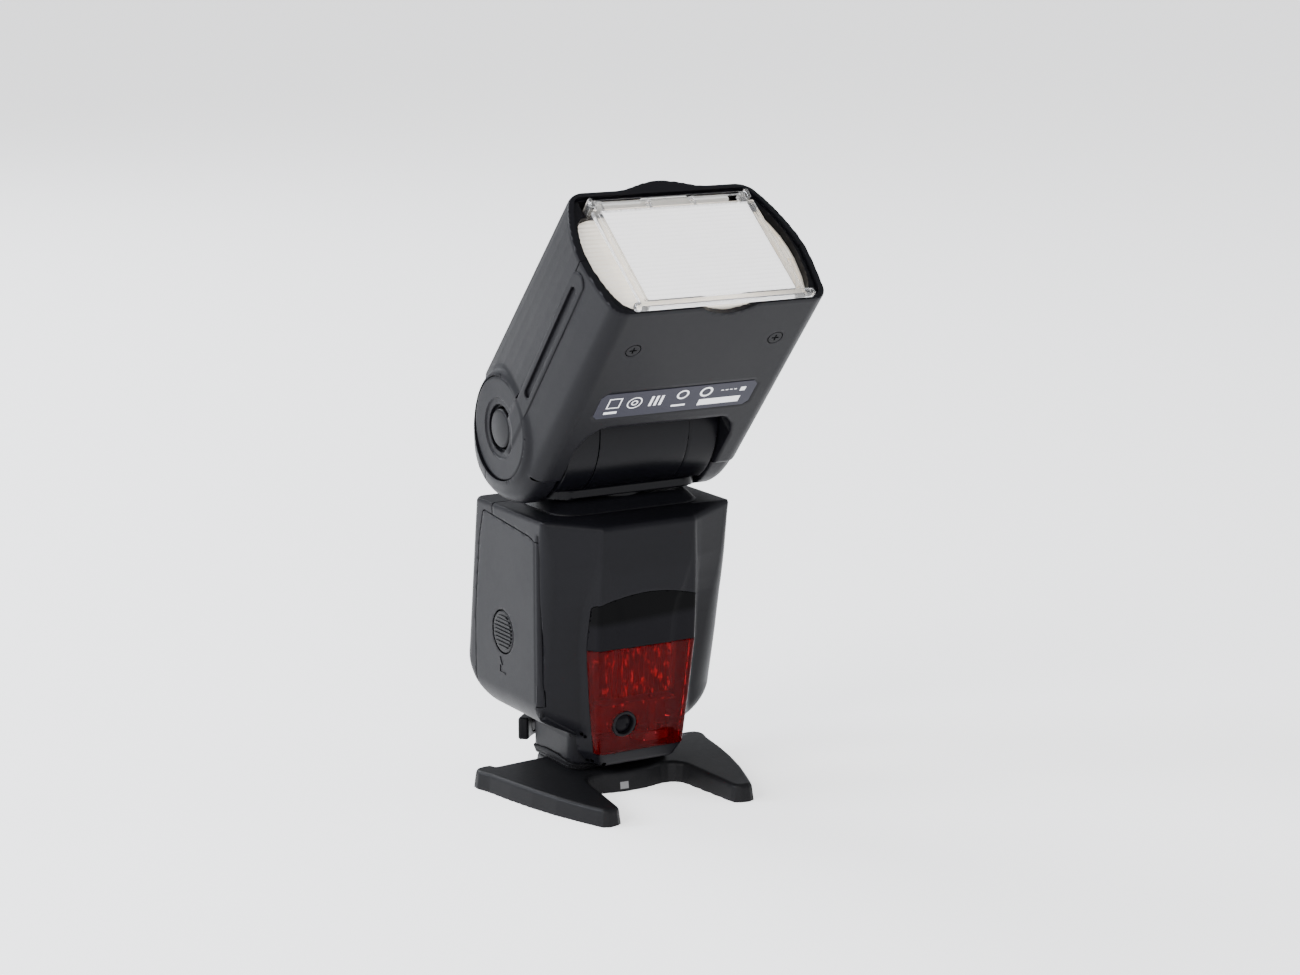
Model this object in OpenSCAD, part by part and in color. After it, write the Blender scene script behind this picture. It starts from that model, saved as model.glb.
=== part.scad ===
// Two-axis bounce flash standing on its mini stand.
// Row frame: x = 0 is the plane of symmetry, -Y is the flash's front, z = 0 is the underside of the stand,
// and the swivel axis and the tilt axis cross on x = 0, y = 0.

/* [Body] */
// Half width of the body
body_hw = 33; // [32:0.5:34]
// Height of the body's top face over the floor
body_top = 89.2; // [88.6:0.1:89.6]
// Underside of the body over the floor
body_base = 18.8; // [18.6:0.1:19.2]
// How far the centre panel stands forward of the swivel axis
panel_y = 24.6; // [24:0.1:25]
// Wall thickness of every moulded case
wall = 2; // [1.6:0.1:2.2]

/* [Head] */
// Angle of the head above the horizontal at rest
head_tilt = 50.4; // [0:0.1:90]
// Height of the tilt axis over the floor
pivot_z = 115.4; // [115:0.1:116]
// Distance from the tilt axis to the front rim
head_len = 75.4; // [72:0.1:78]
// Half width of the head at its side seam
head_hw = 38.1; // [37.8:0.1:38.4]
// Radius of the rear of the head round the tilt axis
head_r = 23.4; // [23:0.1:23.6]

/* [Neck] */
// Radius of the barrel
barrel_r = 22; // [21:0.1:22.2]
// Half width of the barrel
barrel_hw = 25.6; // [25:0.1:25.8]
// Radius of the swivel spigot
spigot_r = 10.95; // [10:0.05:11]
// Radius of the tilt axles
axle_r = 4; // [3.5:0.1:4.2]

/* [Shoe] */
// Width of the hot-shoe foot plate
foot_w = 18.6; // [18.6:0.05:18.7]
// Length of the hot-shoe foot plate
foot_l = 18.2; // [18:0.1:18.4]
// Thickness of the hot-shoe foot plate
foot_t = 2; // [1.95:0.05:2.05]
// Middle of the foot behind the swivel axis
foot_y = 5.9; // [5.8:0.1:6]
// Thickness of the stand
stand_h = 6.5; // [6.4:0.1:6.6]
// Major radius of the tripod thread
tripod_r = 3.175; // [3.175]

/* [Hidden] */

$fn = 48;
eps = 0.02;
run = 0.05;      // radial clearance of a running fit
gap = 0.3;       // gap round a part that moves
big = 120;

charcoal = [0.10, 0.10, 0.11];
black = [0.04, 0.04, 0.05];
soft_black = [0.07, 0.07, 0.08];
steel = [0.65, 0.66, 0.68];
brass = [0.75, 0.62, 0.30];
clear = [0.85, 0.90, 0.92, 0.5];

// ---------- outline helpers ----------

// Points on an arc from angle a0 to a1 in n steps
function arc(cx, cy, r, a0, a1, n = 6) =
    [for (i = [0:n]) let (a = a0 + (a1 - a0) * i / n) [cx + r * cos(a), cy + r * sin(a)]];

// A half outline with x > 0, closed by its mirror image
function mirrored(half) = concat(half, [for (i = [len(half) - 1:-1:0]) [-half[i][0], half[i][1]]]);

// Extrudes a (y, z) outline along X, centred on x
module along_x(w, x = 0) {
    translate([x, 0, 0]) rotate([90, 0, 90]) linear_extrude(w, center = true) children();
}

// Extrudes an (x, z) outline from y0 to y1
module along_y(y0, y1) {
    translate([0, y1, 0]) rotate([90, 0, 0]) linear_extrude(y1 - y0) children();
}

// A box given by its low and high corners
module block(lo, hi) {
    translate(lo) cube(hi - lo);
}

// A cylinder along X from x0 to x1 at (y, z)
module rod_x(x0, x1, r, y = 0, z = 0) {
    translate([x0, y, z]) rotate([0, 90, 0]) cylinder(h = x1 - x0, r = r);
}

// A cylinder along Y from y0 to y1 at (x, z)
module rod_y(y0, y1, r, x = 0, z = 0) {
    translate([x, y0, z]) rotate([-90, 0, 0]) cylinder(h = y1 - y0, r = r);
}

// A rectangle of half sizes a and b with round corners
module round_rect(a, b, r) {
    polygon(mirrored(concat(arc(a - r, -b + r, r, -90, 0), arc(a - r, b - r, r, 0, 90))));
}

// ---------- body outlines, each drawn inset by t ----------

face_top = [28, 87];      // top of the sloping rear face, (y, z)
face_bot = [37, 38];      // bottom of the sloping rear face
rear_slope = atan((face_bot[0] - face_top[0]) / (face_top[1] - face_bot[1]));
chin_top = 48.2;          // where the chin starts to taper, and the lower edge of the dark window
chin_tip = 9.6;           // lowest point of the chin
seam_y = 15;              // where the front and rear covers meet

// Seen from above
module body_plan(t) {
    polygon(mirrored(concat(
        [[16.5, -panel_y + t]],
        arc(body_hw - 7, -12.7, 7 - t, -66, 0, 6),
        arc(body_hw - 7, 30.5, 7 - t, 0, 90, 5)
    )));
}

// Seen from the side
module body_side(t) {
    polygon(concat(
        [[-19.8 + t, body_base + t], [22.5, body_base + t]],
        arc(28.4, 36.5, 8.8 - t, -70, 0, 5),
        [face_bot - [t, 0], face_top - [t, 1.5], [25.4 - t, body_top - 1.2 - t], [18, body_top - t]],
        [[-17.4 + t, body_top - t]],
        [[-panel_y + 0.9 + t, body_top - 2.4 - t], [-panel_y + 0.1 + t, body_top - 3.6 - t]],
        [[-panel_y + 0.2 + t, 63.2], [-23 + t, chin_top]]
    ));
}

// Seen from the front
module body_front(t) {
    polygon(mirrored(concat(
        [[16, body_base + t]],
        arc(21, 31, 12 - t, -80, 0, 6),
        [[body_hw - t, body_top - t]]
    )));
}

// The tongue that carries the centre panel down in front of the foot
module chin_form(t) {
    intersection() {
        along_y(-30, -9.2) polygon(mirrored([[12.1 - t, chin_tip + t], [14.9 - t, 14.8], [17.2 - t, chin_top]]));
        along_x(60) polygon([
            [-8, chin_tip + t], [-17 + t, chin_tip + t], [-19.4 + t, 14.8], [-23 + t, chin_top], [-8, chin_top]
        ]);
    }
}

module body_form(t) {
    intersection() {
        translate([0, 0, 5]) linear_extrude(90) body_plan(t);
        along_x(80) body_side(t);
        along_y(-40, 50) body_front(t);
    }
}

module body_shell() {
    difference() {
        union() {
            body_form(0);
            chin_form(0);
        }
        body_form(wall);
        chin_form(wall);
    }
}

// ---------- windows in the centre panel ----------

module ir_outline(t) {
    polygon(mirrored(concat([[17 - t, chin_top + t]], [[16.9 - t, 63.2 - t]], [[9, 64.7 - t], [3, 65.3 - t]])));
}

module af_outline(t) {
    polygon(mirrored([[14.4 - t, 14.4 + t], [16.6 - t, 32], [17.1 - t, chin_top - t]]));
}

// The outer layer of the front, as thick as the windows
module panel_skin(depth) {
    difference() {
        union() {
            body_form(0);
            chin_form(0);
        }
        translate([0, depth, 0]) {
            body_form(0);
            chin_form(0);
        }
    }
}

sensor_x = -6.6;
sensor_z = 23.6;
sensor_r = 3.1;
ring_r = 4.2;

module ir_window() {
    color([0.03, 0.03, 0.04])
        intersection() {
            panel_skin(1.4);
            along_y(-30, -12) ir_outline(0.1);
        }
}

module af_window() {
    color([0.5, 0.03, 0.05, 0.8])
        difference() {
            intersection() {
                panel_skin(1.4);
                along_y(-30, -12) af_outline(0.1);
            }
            rod_y(-30, -10, ring_r, sensor_x, sensor_z);
        }
}

module sensor_ring() {
    color(black)
        difference() {
            rod_y(-20.9, -17.2, ring_r, sensor_x, sensor_z);
            rod_y(-21, -17, sensor_r, sensor_x, sensor_z);
        }
}

module sensor_lens() {
    color([0.05, 0.05, 0.07])
        rod_y(-20.4, -17.4, sensor_r, sensor_x, sensor_z);
}

module af_lamp_module() {
    color([0.3, 0.05, 0.05])
        union() {
            block([-9, -16.4, 24], [11, -11.4, 45]);
            rod_y(-18.6, -16, 4, 2, 40);
            rod_y(-17.8, -16, 3, 7, 30);
        }
}

// ---------- openings in the covers ----------

pedestal_hw = 17.5;
pedestal_y0 = -8.6;
pedestal_y1 = 20;
pedestal_z0 = 8.6;
pedestal_z1 = 24;

door_y0 = -13;
door_x = -31.5;           // hinge axis of the battery door
door_z0 = 31.5;           // lower end of the door's hinge
door_z1 = 82;             // upper end of the door's hinge
door_in_x = -26;          // how far the door wraps under the body

// Side outline of the battery door
module door_outline(t) {
    polygon([
        [door_y0 + t, 20 + t], [24.5 - t, 20 + t], [26 - t, 45], [22 - t, 85.6 - t], [door_y0 + t, 83.4 - t]
    ]);
}

lock_y = 8.6;             // centre of the door's lock button
lock_z = 49.7;

terminal_y0 = -6;
terminal_y1 = 8;
terminal_z0 = 44;
terminal_z1 = 68;
terminal_x = 31.3;        // floor of the recess under the terminal cover
flap_x = 32.2;            // hinge axis of the terminal cover
flap_z = 44.8;
flap_r = 0.75;

module cover_cuts() {
    // foot pedestal, with the body's weight on its top
    block([-pedestal_hw, pedestal_y0, 5], [pedestal_hw, pedestal_y1, pedestal_z1]);
    // battery door and the room for its hinge
    intersection() {
        along_x(20, door_in_x - 10) door_outline(-gap);
        block([-60, -40, 0], [door_in_x, 60, big]);
    }
    translate([door_x, door_y0, 22]) cylinder(h = 60.3, r = 2.1);
    // windows
    along_y(-30, -12) ir_outline(0.1);
    along_y(-30, -12) af_outline(0.1);
    // neck spigot
    translate([0, 0, 80]) cylinder(h = 20, r = spigot_r + run);
    // recess of the terminal cover
    block([terminal_x, terminal_y0 - gap, terminal_z0 - gap], [50, terminal_y1 + gap, terminal_z1 + gap]);
}

module front_cover() {
    color(charcoal)
        difference() {
            union() {
                intersection() {
                    body_shell();
                    block([-60, -60, 0], [60, seam_y, big]);
                }
                // boss behind the terminals
                block([27.6, -9, 41], [31.6, 11, 71]);
                // lugs that hold the door's hinge pin
                for (z = [27.4, 82.35])
                    translate([door_x, door_y0, z]) cylinder(h = 3.2, r = 1.45);
                // webs from the lugs to the wall
                for (z = [27.4, 82.35])
                    block([door_x - 0.6, -15.2, z], [-30.2, -12.4, z + 3.2]);
            }
            difference() {
                cover_cuts();
                for (z = [27.4, 82.35])
                    translate([door_x, door_y0, z]) cylinder(h = 3.2, r = 1.45);
                for (z = [27.4, 82.35])
                    block([door_x - 0.6, -15.2, z], [-30.2, -12.4, z + 3.2]);
            }
            rod_x(27, 33, 3.6, 1, 60);
            block([27, -3.5, 47.5], [33, 5.5, 54.5]);
            translate([door_x, door_y0, 26]) cylinder(h = 62, r = 0.6);
        }
}

// ---------- controls on the rear face ----------

// Local frame: x to the right seen from behind, y up the face, z outwards; the origin is the face's top edge
module on_face() {
    translate([0, face_top[0], face_top[1]]) rotate([90 - rear_slope, 0, 180]) children();
}

lcd_y = -12.6;
lcd_hw = 22;
lcd_hh = 9.8;
button_y = -26.6;
button_pitch = 10.6;
dial_y = -38;
dial_r = 8;
set_r = 3.4;
pilot_x = -17.5;
pilot_r = 3;
switch_x = 17.5;
push = 0.8;               // travel of a push button on the rear face

function button_x(i) = (i - 2.5) * button_pitch;

module button_outline(t) {
    round_rect(3.7 + t, 1.8 + t, 1.7 + t);
}

module rear_cover() {
    color(charcoal)
        difference() {
            intersection() {
                body_shell();
                block([-60, seam_y, 0], [60, 60, big]);
            }
            cover_cuts();
            on_face() {
                translate([0, lcd_y, -10]) linear_extrude(20) round_rect(lcd_hw, lcd_hh, 2);
                for (i = [1:4])
                    translate([button_x(i), button_y, -10]) linear_extrude(20) button_outline(0.2);
                translate([0, dial_y, -10]) cylinder(h = 20, r = 2.3);
                translate([0, dial_y, -0.9]) cylinder(h = 10, r = dial_r + 0.3);
                translate([pilot_x, dial_y, -10]) cylinder(h = 20, r = pilot_r + 0.2);
                translate([switch_x, dial_y, -10]) linear_extrude(20) round_rect(4.6, 1.7, 1.2);
            }
        }
}

module lcd_window() {
    color([0.35, 0.42, 0.38])
        on_face() translate([0, lcd_y, -1.6]) linear_extrude(1.5) round_rect(lcd_hw, lcd_hh, 2);
}

module lcd_module() {
    color([0.55, 0.6, 0.5])
        on_face() translate([-lcd_hw + 1, lcd_y - lcd_hh + 1, -3.6]) cube([2 * lcd_hw - 2, 2 * lcd_hh - 2, 2]);
}

module function_button(i) {
    color(soft_black)
        on_face() translate([button_x(i), button_y, 0]) {
            translate([0, 0, -2.4]) linear_extrude(3.2) button_outline(0);
            translate([0, 0, -3]) linear_extrude(0.6) round_rect(4.4, 2.6, 1);
        }
}

module function_button_1() function_button(1);
module function_button_2() function_button(2);
module function_button_3() function_button(3);
module function_button_4() function_button(4);

module pilot_button() {
    color([0.5, 0.1, 0.06])
        on_face() translate([pilot_x, dial_y, 0]) {
            translate([0, 0, -2.4]) cylinder(h = 3.3, r = pilot_r);
            translate([0, 0, -3]) cylinder(h = 0.6, r = pilot_r + 0.8);
        }
}

module select_dial() {
    color(soft_black)
        on_face() translate([0, dial_y, 0])
            difference() {
                union() {
                    translate([0, 0, -0.6]) cylinder(h = 2.9, r = dial_r);
                    translate([0, 0, -3.4]) cylinder(h = 3, r = 2.25);
                }
                translate([0, 0, 0.4]) cylinder(h = 5, r = set_r + 0.1);
                translate([0, 0, -5]) cylinder(h = 9, r = 1.3);
            }
}

module set_button() {
    color(soft_black)
        on_face() translate([0, dial_y, 0]) {
            translate([0, 0, 1.3]) cylinder(h = 1.4, r = set_r);
            translate([0, 0, -3.2]) cylinder(h = 4.6, r = 1.25);
        }
}

module power_switch() {
    color(soft_black)
        on_face() translate([switch_x - 2, dial_y, 0]) {
            translate([0, 0, -2.2]) linear_extrude(3.4) round_rect(2.4, 1.5, 1);
            translate([0, 0, -2.8]) linear_extrude(0.6) round_rect(3.2, 2.4, 1);
        }
}

// ---------- battery chamber ----------

tray_y = 5;
cell_r = 7.25;
cell_pitch = 14.7;
cell_x = -21.8;
cell_z = 32.2;
cell_h = 50;
tray_lo = [-30.2, -11.2, 29.8];
tray_hi = [1.4, 21.2, 84.4];

module battery_tray() {
    color([0.16, 0.16, 0.17])
        difference() {
            block(tray_lo, tray_hi);
            block(tray_lo + [-5, 1.4, 1.4], tray_hi - [1.3, 1.4, 1.4]);
        }
}

module at_cells() {
    for (i = [0, 1])
        for (j = [-0.5, 0.5])
            translate([cell_x + i * cell_pitch, tray_y + j * cell_pitch, cell_z]) children();
}

module batteries() {
    color([0.8, 0.8, 0.78])
        at_cells() {
            cylinder(h = cell_h - 1, r = cell_r);
            cylinder(h = cell_h, r = 2.6);
        }
}

module battery_contacts() {
    color(steel)
        at_cells() {
            translate([0, 0, cell_h]) cylinder(h = 0.7, r = 4);
            translate([0, 0, -0.8]) cylinder(h = 0.7, r = 4.5);
        }
}

module battery_door() {
    color(charcoal)
        difference() {
            union() {
                intersection() {
                    difference() {
                        body_form(0);
                        body_form(wall);
                    }
                    along_x(20, door_in_x - 10) door_outline(0);
                }
                translate([door_x, door_y0, door_z0]) cylinder(h = door_z1 - door_z0, r = 1.5);
            }
            rod_x(-40, -20, 6.9, lock_y, lock_z);
            translate([door_x, door_y0, 20]) cylinder(h = 70, r = 0.66);
            // the lower end clears the hinge lug
            block([-40, -20, 15], [-28.6, -10.6, door_z0]);
            block([-40, -20, door_z1], [-28.6, -10.6, big]);
        }
}

module door_lock_button() {
    color(soft_black)
        union() {
            rod_x(-32.8, -30.8, 6.6, lock_y, lock_z);
            rod_x(-30.9, -30.45, 7.6, lock_y, lock_z);
        }
}

module door_hinge_pin() {
    color(steel)
        translate([door_x, door_y0, 27.5]) cylinder(h = 58, r = 0.6);
}

// ---------- electronics ----------

module main_board() {
    color([0.05, 0.25, 0.12])
        block([-28, 21.9, 46], [28, 23.4, 84]);
}

module main_capacitor() {
    color([0.12, 0.12, 0.14])
        union() {
            translate([14.8, 2, 31]) cylinder(h = 50, r = 12);
            for (x = [-4, 4])
                translate([14.8 + x, 2, 80.9]) cylinder(h = 3, r = 0.8);
        }
}

module pc_socket() {
    color(steel)
        difference() {
            rod_x(28, 31.2, 3.6, 1, 60);
            rod_x(29.4, 32, 2.6, 1, 60);
        }
}

module power_socket() {
    color(black)
        difference() {
            block([28, -3.5, 47.5], [31.2, 5.5, 54.5]);
            for (y = [-1.5, 1, 3.5])
                rod_x(29, 32, 0.9, y, 51);
        }
}

module terminal_cover() {
    color(soft_black)
        union() {
            block([terminal_x + 0.1, terminal_y0, flap_z], [body_hw - 0.05, terminal_y1, terminal_z1]);
            rod_y(terminal_y0, terminal_y1, flap_r, flap_x, flap_z);
            block([body_hw - 0.1, terminal_y0 + 3, terminal_z1 - 3], [body_hw + 0.7, terminal_y1 - 3, terminal_z1 - 1.4]);
        }
}

// ---------- foot, lock and stand ----------

foot_z = 2.3;             // underside of the foot plate
lever_y = 7;              // vertical axis of the lock lever
lever_in = 22.5;
lever_out = 26;
pin_y = -1.1;

// (x, y, radius) of the contacts from the middle of the foot
contact_spots = [[0, 0, 1.9], [-2.9, 4.6, 0.9], [2.9, 4.6, 0.9], [-5, 1.6, 0.9], [5, 1.6, 0.9]];
// (x, y) of the screws
screw_spots = [[-10.6, -3.4], [10.6, -3.4], [-10.6, 15.2], [10.6, 15.2]];

module foot_plate() {
    color(steel)
        difference() {
            union() {
                block([-foot_w / 2, foot_y - foot_l / 2, foot_z], [foot_w / 2, foot_y + foot_l / 2, foot_z + foot_t]);
                block([-6.2, foot_y - foot_l / 2, foot_z + foot_t - eps], [6.2, foot_y + foot_l / 2, pedestal_z0 - 1]);
                block([-13, -5.6, pedestal_z0 - 1 - eps], [13, 17.4, pedestal_z0]);
            }
            translate([0, pin_y, 0]) cylinder(h = 20, r = 1);
            for (p = contact_spots)
                translate([p[0], foot_y + p[1], 0]) cylinder(h = 4, r = p[2]);
            for (p = screw_spots)
                translate([p[0], p[1], 0]) cylinder(h = 20, r = 1);
        }
}

module foot_contacts() {
    color(brass)
        for (p = contact_spots)
            translate([p[0], foot_y + p[1], foot_z - 0.05]) cylinder(h = 1.6, r = p[2]);
}

module foot_screws() {
    color(steel)
        for (p = screw_spots)
            translate([p[0], p[1], pedestal_z0 - 2])
                difference() {
                    union() {
                        translate([0, 0, 0.2]) cylinder(h = 0.75, r = 1.8);
                        cylinder(h = 4.9, r = 1);
                    }
                    translate([-1.2, -0.2, -1]) cube([2.4, 0.4, 1.6]);
                }
}

module foot_seal() {
    color(soft_black)
        translate([0, 0, stand_h + 0.1])
            difference() {
                linear_extrude(pedestal_z0 - stand_h - 0.1) translate([0, 6.5]) round_rect(18, 15, 5);
                translate([0, 0, -1]) linear_extrude(5) translate([0, 6.3]) round_rect(15.6, 12.4, 4);
            }
}

module foot_pedestal() {
    color(charcoal)
        difference() {
            block([-pedestal_hw, pedestal_y0, pedestal_z0], [pedestal_hw, pedestal_y1, pedestal_z1]);
            // slot for the lever's hub plate, round a fixed post
            difference() {
                block([-20, lever_y - 6, 11.7], [20, 30, 13.8]);
                translate([0, lever_y, 0]) cylinder(h = 40, r = 2.95);
            }
            translate([0, pin_y, 0]) cylinder(h = 18, r = 1);
            for (p = screw_spots)
                translate([p[0], p[1], 0]) cylinder(h = 11.5, r = 1);
            // wire way into the body
            translate([0, 2, 16]) cylinder(h = 20, r = 3);
        }
}

module locking_pin() {
    color(steel)
        translate([0, pin_y, foot_z + 0.1]) cylinder(h = 13, r = 0.95);
}

// A ring sector about Z from angle a0 to a1
module sector(r0, r1, a0, a1, h) {
    linear_extrude(h) polygon(concat(arc(0, 0, r1, a0, a1, 10), arc(0, 0, r0, a1, a0, 10)));
}

lever_button_a = 126;     // where the release button sits round the lever

module lock_lever() {
    color(soft_black)
        translate([0, lever_y, 0])
            difference() {
                union() {
                    translate([0, 0, 9.4]) sector(lever_in, lever_out, 70, 142, 7.2);
                    translate([0, 0, 12]) sector(4, lever_in + 1, 88, 116, 1.5);
                    translate([0, 0, 12]) cylinder(h = 1.5, r = 5.4);
                }
                cylinder(h = 40, r = 3);
                translate([0, 0, 13]) rotate([0, 90, lever_button_a]) cylinder(h = 40, r = 2.5);
            }
}

module lever_button() {
    color(soft_black)
        translate([0, lever_y, 13]) rotate([0, 90, lever_button_a])
            translate([0, 0, lever_in + 0.2]) cylinder(h = 4.3, r = 2.2);
}

stand_stop = -3.5;        // front end of the stand's shoe
shoe_hw = foot_w / 2 + 0.15;
tripod_y = -8.6;
insert_r = 4.2;

// Outline of the stand seen from above
function stand_half() = concat(
    [[1, -15.3], [5, -15]], arc(11.6, -19, 5.4, 88, 14, 4),
    [[19.6, -40.2]], arc(21.6, -41.3, 2.3, 185, 270, 3), arc(24.8, -41.2, 2.4, 280, 340, 3),
    [[29.9, -34.6], [33.4, -25], [36.2, -15], [38.4, -5], [40.2, 5.3]], arc(37.8, 10.6, 4.2, -8, 84, 5),
    [[34.2, 15], [33.6, 12.2], [18, 12.2], [17, 18.4]]
);

module stand_body() {
    color(charcoal)
        difference() {
            linear_extrude(stand_h) polygon(mirrored(stand_half()));
            block([-shoe_hw, stand_stop, 2.2], [shoe_hw, 40, foot_z + foot_t + 0.15]);
            block([-6.4, stand_stop, 2.2], [6.4, 40, 20]);
            translate([0, pin_y, 0.5]) cylinder(h = 5, r = 1.3);
            translate([0, tripod_y, -1]) cylinder(h = 6.2, r = insert_r);
        }
}

module tripod_insert() {
    color(brass)
        translate([0, tripod_y, 0])
            difference() {
                cylinder(h = 5.2, r = insert_r);
                translate([0, 0, -1]) cylinder(h = 8, r = tripod_r);
            }
}

// ---------- neck ----------

collar_top = 92.6;
plate_z0 = 93.6;          // underside of the turntable plate
plate_z1 = 96.4;
spigot_z = 84.8;          // lower end of the spigot, over the battery tray
cap_x = 15.5;             // joint between the barrel's centre and its end caps

module swivel_collar() {
    color(charcoal)
        difference() {
            hull() {
                translate([0, 0, body_top]) linear_extrude(0.5) round_rect(25.8, 15.6, 9);
                translate([0, 0, collar_top - 0.3]) linear_extrude(0.3) round_rect(22.8, 11.8, 7);
            }
            translate([0, 0, 80]) cylinder(h = 20, r = spigot_r + run);
        }
}

module barrel_half_outline() {
    intersection() {
        circle(r = barrel_r, $fn = 96);
        translate([-40, plate_z1 - pivot_z]) square([80, 80]);
    }
}

module at_pivot() {
    translate([0, 0, pivot_z]) children();
}

module neck_frame() {
    color(soft_black)
        difference() {
            union() {
                at_pivot() along_x(2 * cap_x) barrel_half_outline();
                translate([0, 0, plate_z0]) linear_extrude(plate_z1 - plate_z0) round_rect(barrel_hw, 11.6, 6);
                translate([0, 0, spigot_z]) cylinder(h = plate_z0 - spigot_z + eps, r = spigot_r);
            }
            at_pivot() rod_x(-11.5, 11.5, 18.6);
            at_pivot() rod_x(-30, 30, axle_r + run);
            translate([0, 0, 80]) cylinder(h = 20, r = 7);
        }
}

module neck_end_caps() {
    color(soft_black)
        for (s = [-1, 1])
            difference() {
                at_pivot() along_x(barrel_hw - cap_x, s * (barrel_hw + cap_x) / 2) barrel_half_outline();
                at_pivot() rod_x(-30, 30, axle_r + run);
            }
}

module swivel_retainer() {
    color(steel)
        translate([0, 0, spigot_z])
            difference() {
                cylinder(h = 2, r = 15.5);
                translate([0, 0, -1]) cylinder(h = 5, r = spigot_r);
            }
}

// ---------- head, drawn level and then tilted ----------

module head_frame() {
    translate([0, 0, pivot_z]) rotate([-head_tilt, 0, 0]) children();
}

rim_bottom = -24.4;       // underside of the head at the rim
rim_top = 22.6;           // top of the head at the rim
case_seam = -3.1;         // height of the seam between the two cases
visor_rise = 4.2;         // how far the visor's crown stands above the top face

module head_section(t) {
    polygon(mirrored(concat(
        [[28, rim_bottom + t]],
        arc(30.2, rim_bottom + 4, 4 - t, -80, -12, 4),
        [[head_hw - t, case_seam], [head_hw - 0.5 - t, 2]],
        arc(27.4, 17.4, 6 - t, 24, 84, 4),
        [[16, 24.4 - t], [6, 26.8 - t]]
    )));
}

module head_side(t) {
    polygon(concat(
        arc(0, 0, head_r - t, 90, -90, 24),
        [[-head_len, rim_bottom + t], [-head_len, rim_top + visor_rise - t], [-66, rim_top + 0.4 - t]]
    ));
}

module head_form(t) {
    intersection() {
        along_y(-head_len, 40) head_section(t);
        along_x(100) head_side(t);
    }
}

// Outline of the window in the bezel, inset by t
module window_outline(t) {
    polygon(mirrored(concat(
        [[24, -21 + t]], arc(27.6, -17.4, 3.6 - t, -80, -20, 3),
        [[34 - t, -3], [33 - t, 3]],
        arc(27.4, 9.6, 3 - t, 25, 85, 3)
    )));
}

arch_hw = 26.6;           // half width of the opening round the neck
disc_x = 36.4;            // seat of the round side covers
disc_r = 15.9;            // radius of the round side covers
bay_u = 27;               // rear wall of the optics bay, forward of the tilt axis

// The opening that the neck passes through as the head tilts
module neck_opening() {
    rod_x(-arch_hw, arch_hw, barrel_r + 0.5);
    intersection() {
        along_x(2 * arch_hw)
            polygon([[0, 0], [-27.5, -27], [-27.5, -60], [60, -60], [60, 15.5], [20, 13]]);
        translate([0, 0, -40]) linear_extrude(80)
            polygon(mirrored([[14, -24.8], [21.5, -23.3], [24.8, -20], [arch_hw, -15], [arch_hw, 40]]));
    }
}

module head_cavity() {
    intersection() {
        along_y(-head_len - 1, -bay_u) head_section(wall);
        along_x(100) offset_side();
    }
    // pockets in the two cheeks, round the axle bosses
    for (s = [-1, 1])
        intersection() {
            difference() {
                rod_x(s * 32.2 - 3.7, s * 32.2 + 3.7, 20.4);
                rod_x(s * 32.2 - 4, s * 32.2 + 4, 7);
            }
            along_y(-30, 40) head_section(wall);
        }
}

module offset_side() {
    polygon([[-head_len - 2, rim_bottom + wall], [-bay_u, rim_bottom + wall + 0.8],
        [-bay_u, 21], [-64, rim_top - 1.7], [-head_len - 2, rim_top + visor_rise - wall]]);
}

screw_x = 24;
screw_u = 59.1;

module case_solid() {
    difference() {
        union() {
            difference() {
                head_form(0);
                head_cavity();
            }
            // round bosses that carry the side discs
            for (s = [-1, 1])
                rod_x(s * 32.4 - 4, s * 32.4 + 4, 16.9);
            // screw bosses in the lower case
            for (s = [-1, 1])
                translate([s * screw_x, -screw_u, -23]) cylinder(h = 7, r = 2.8);
        }
        neck_opening();
        rod_x(-34.3, 34.3, axle_r);
        // seat of the tilt release button and of the cap on the other side
        rod_x(-60, -disc_x, disc_r);
        rod_x(disc_x, 60, disc_r);
        rod_x(-disc_x - eps, -34.2, 6.6);
        arm_region(-1);
        arm_region(1);
        for (s = [-1, 1])
            translate([s * screw_x, -screw_u, -30]) {
                cylinder(h = 6.6, r = 2.5);
                cylinder(h = 13, r = 1.1);
            }
        // seat of the label plate
        label_region();
        // finger relief in the lower rim
        translate([2.4, -head_len - 12.4, -40]) cylinder(h = 18.4, r = 15.6);
    }
}

// The strip that runs forward from each side disc
module arm_region(side) {
    intersection() {
        block([-60, -70, -7.8], [60, 0, -2.6]);
        block([side > 0 ? 37 : -60, -80, -30], [side > 0 ? 60 : -37, 10, 30]);
    }
}

module label_region() {
    difference() {
        intersection() {
            head_form(0);
            translate([0, 0, -40]) linear_extrude(40)
                polygon(mirrored([[25.4, -28.6], [26.8, -30.4], [26.8, -39.8]]));
        }
        translate([0, 0, 0.4]) head_form(0);
    }
}

module head_lower_case() {
    color(charcoal)
        head_frame()
            intersection() {
                case_solid();
                block([-60, -100, -60], [60, 60, case_seam]);
            }
}

module head_upper_case() {
    color(charcoal)
        head_frame()
            intersection() {
                case_solid();
                block([-60, -100, case_seam], [60, 60, 60]);
            }
}

bezel_back = 67.5;        // distance of the bezel's rear face from the tilt axis
slot_hw = 28.2;
slot_z0 = 14.6;
slot_z1 = 20.2;

module head_bezel() {
    color(black)
        head_frame()
            difference() {
                intersection() {
                    along_y(-head_len + 0.8, -bezel_back) head_section(wall);
                    along_x(100) offset_side();
                }
                along_y(-100, -40) window_outline(0);
                block([-slot_hw, -100, slot_z0], [slot_hw, 0, slot_z1]);
            }
}

module fresnel_lens() {
    color(clear)
        head_frame() along_y(-70.4, -bezel_back - 0.4) window_outline(0);
}

module label_plate() {
    color([0.35, 0.35, 0.36])
        head_frame() label_region();
}

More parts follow.
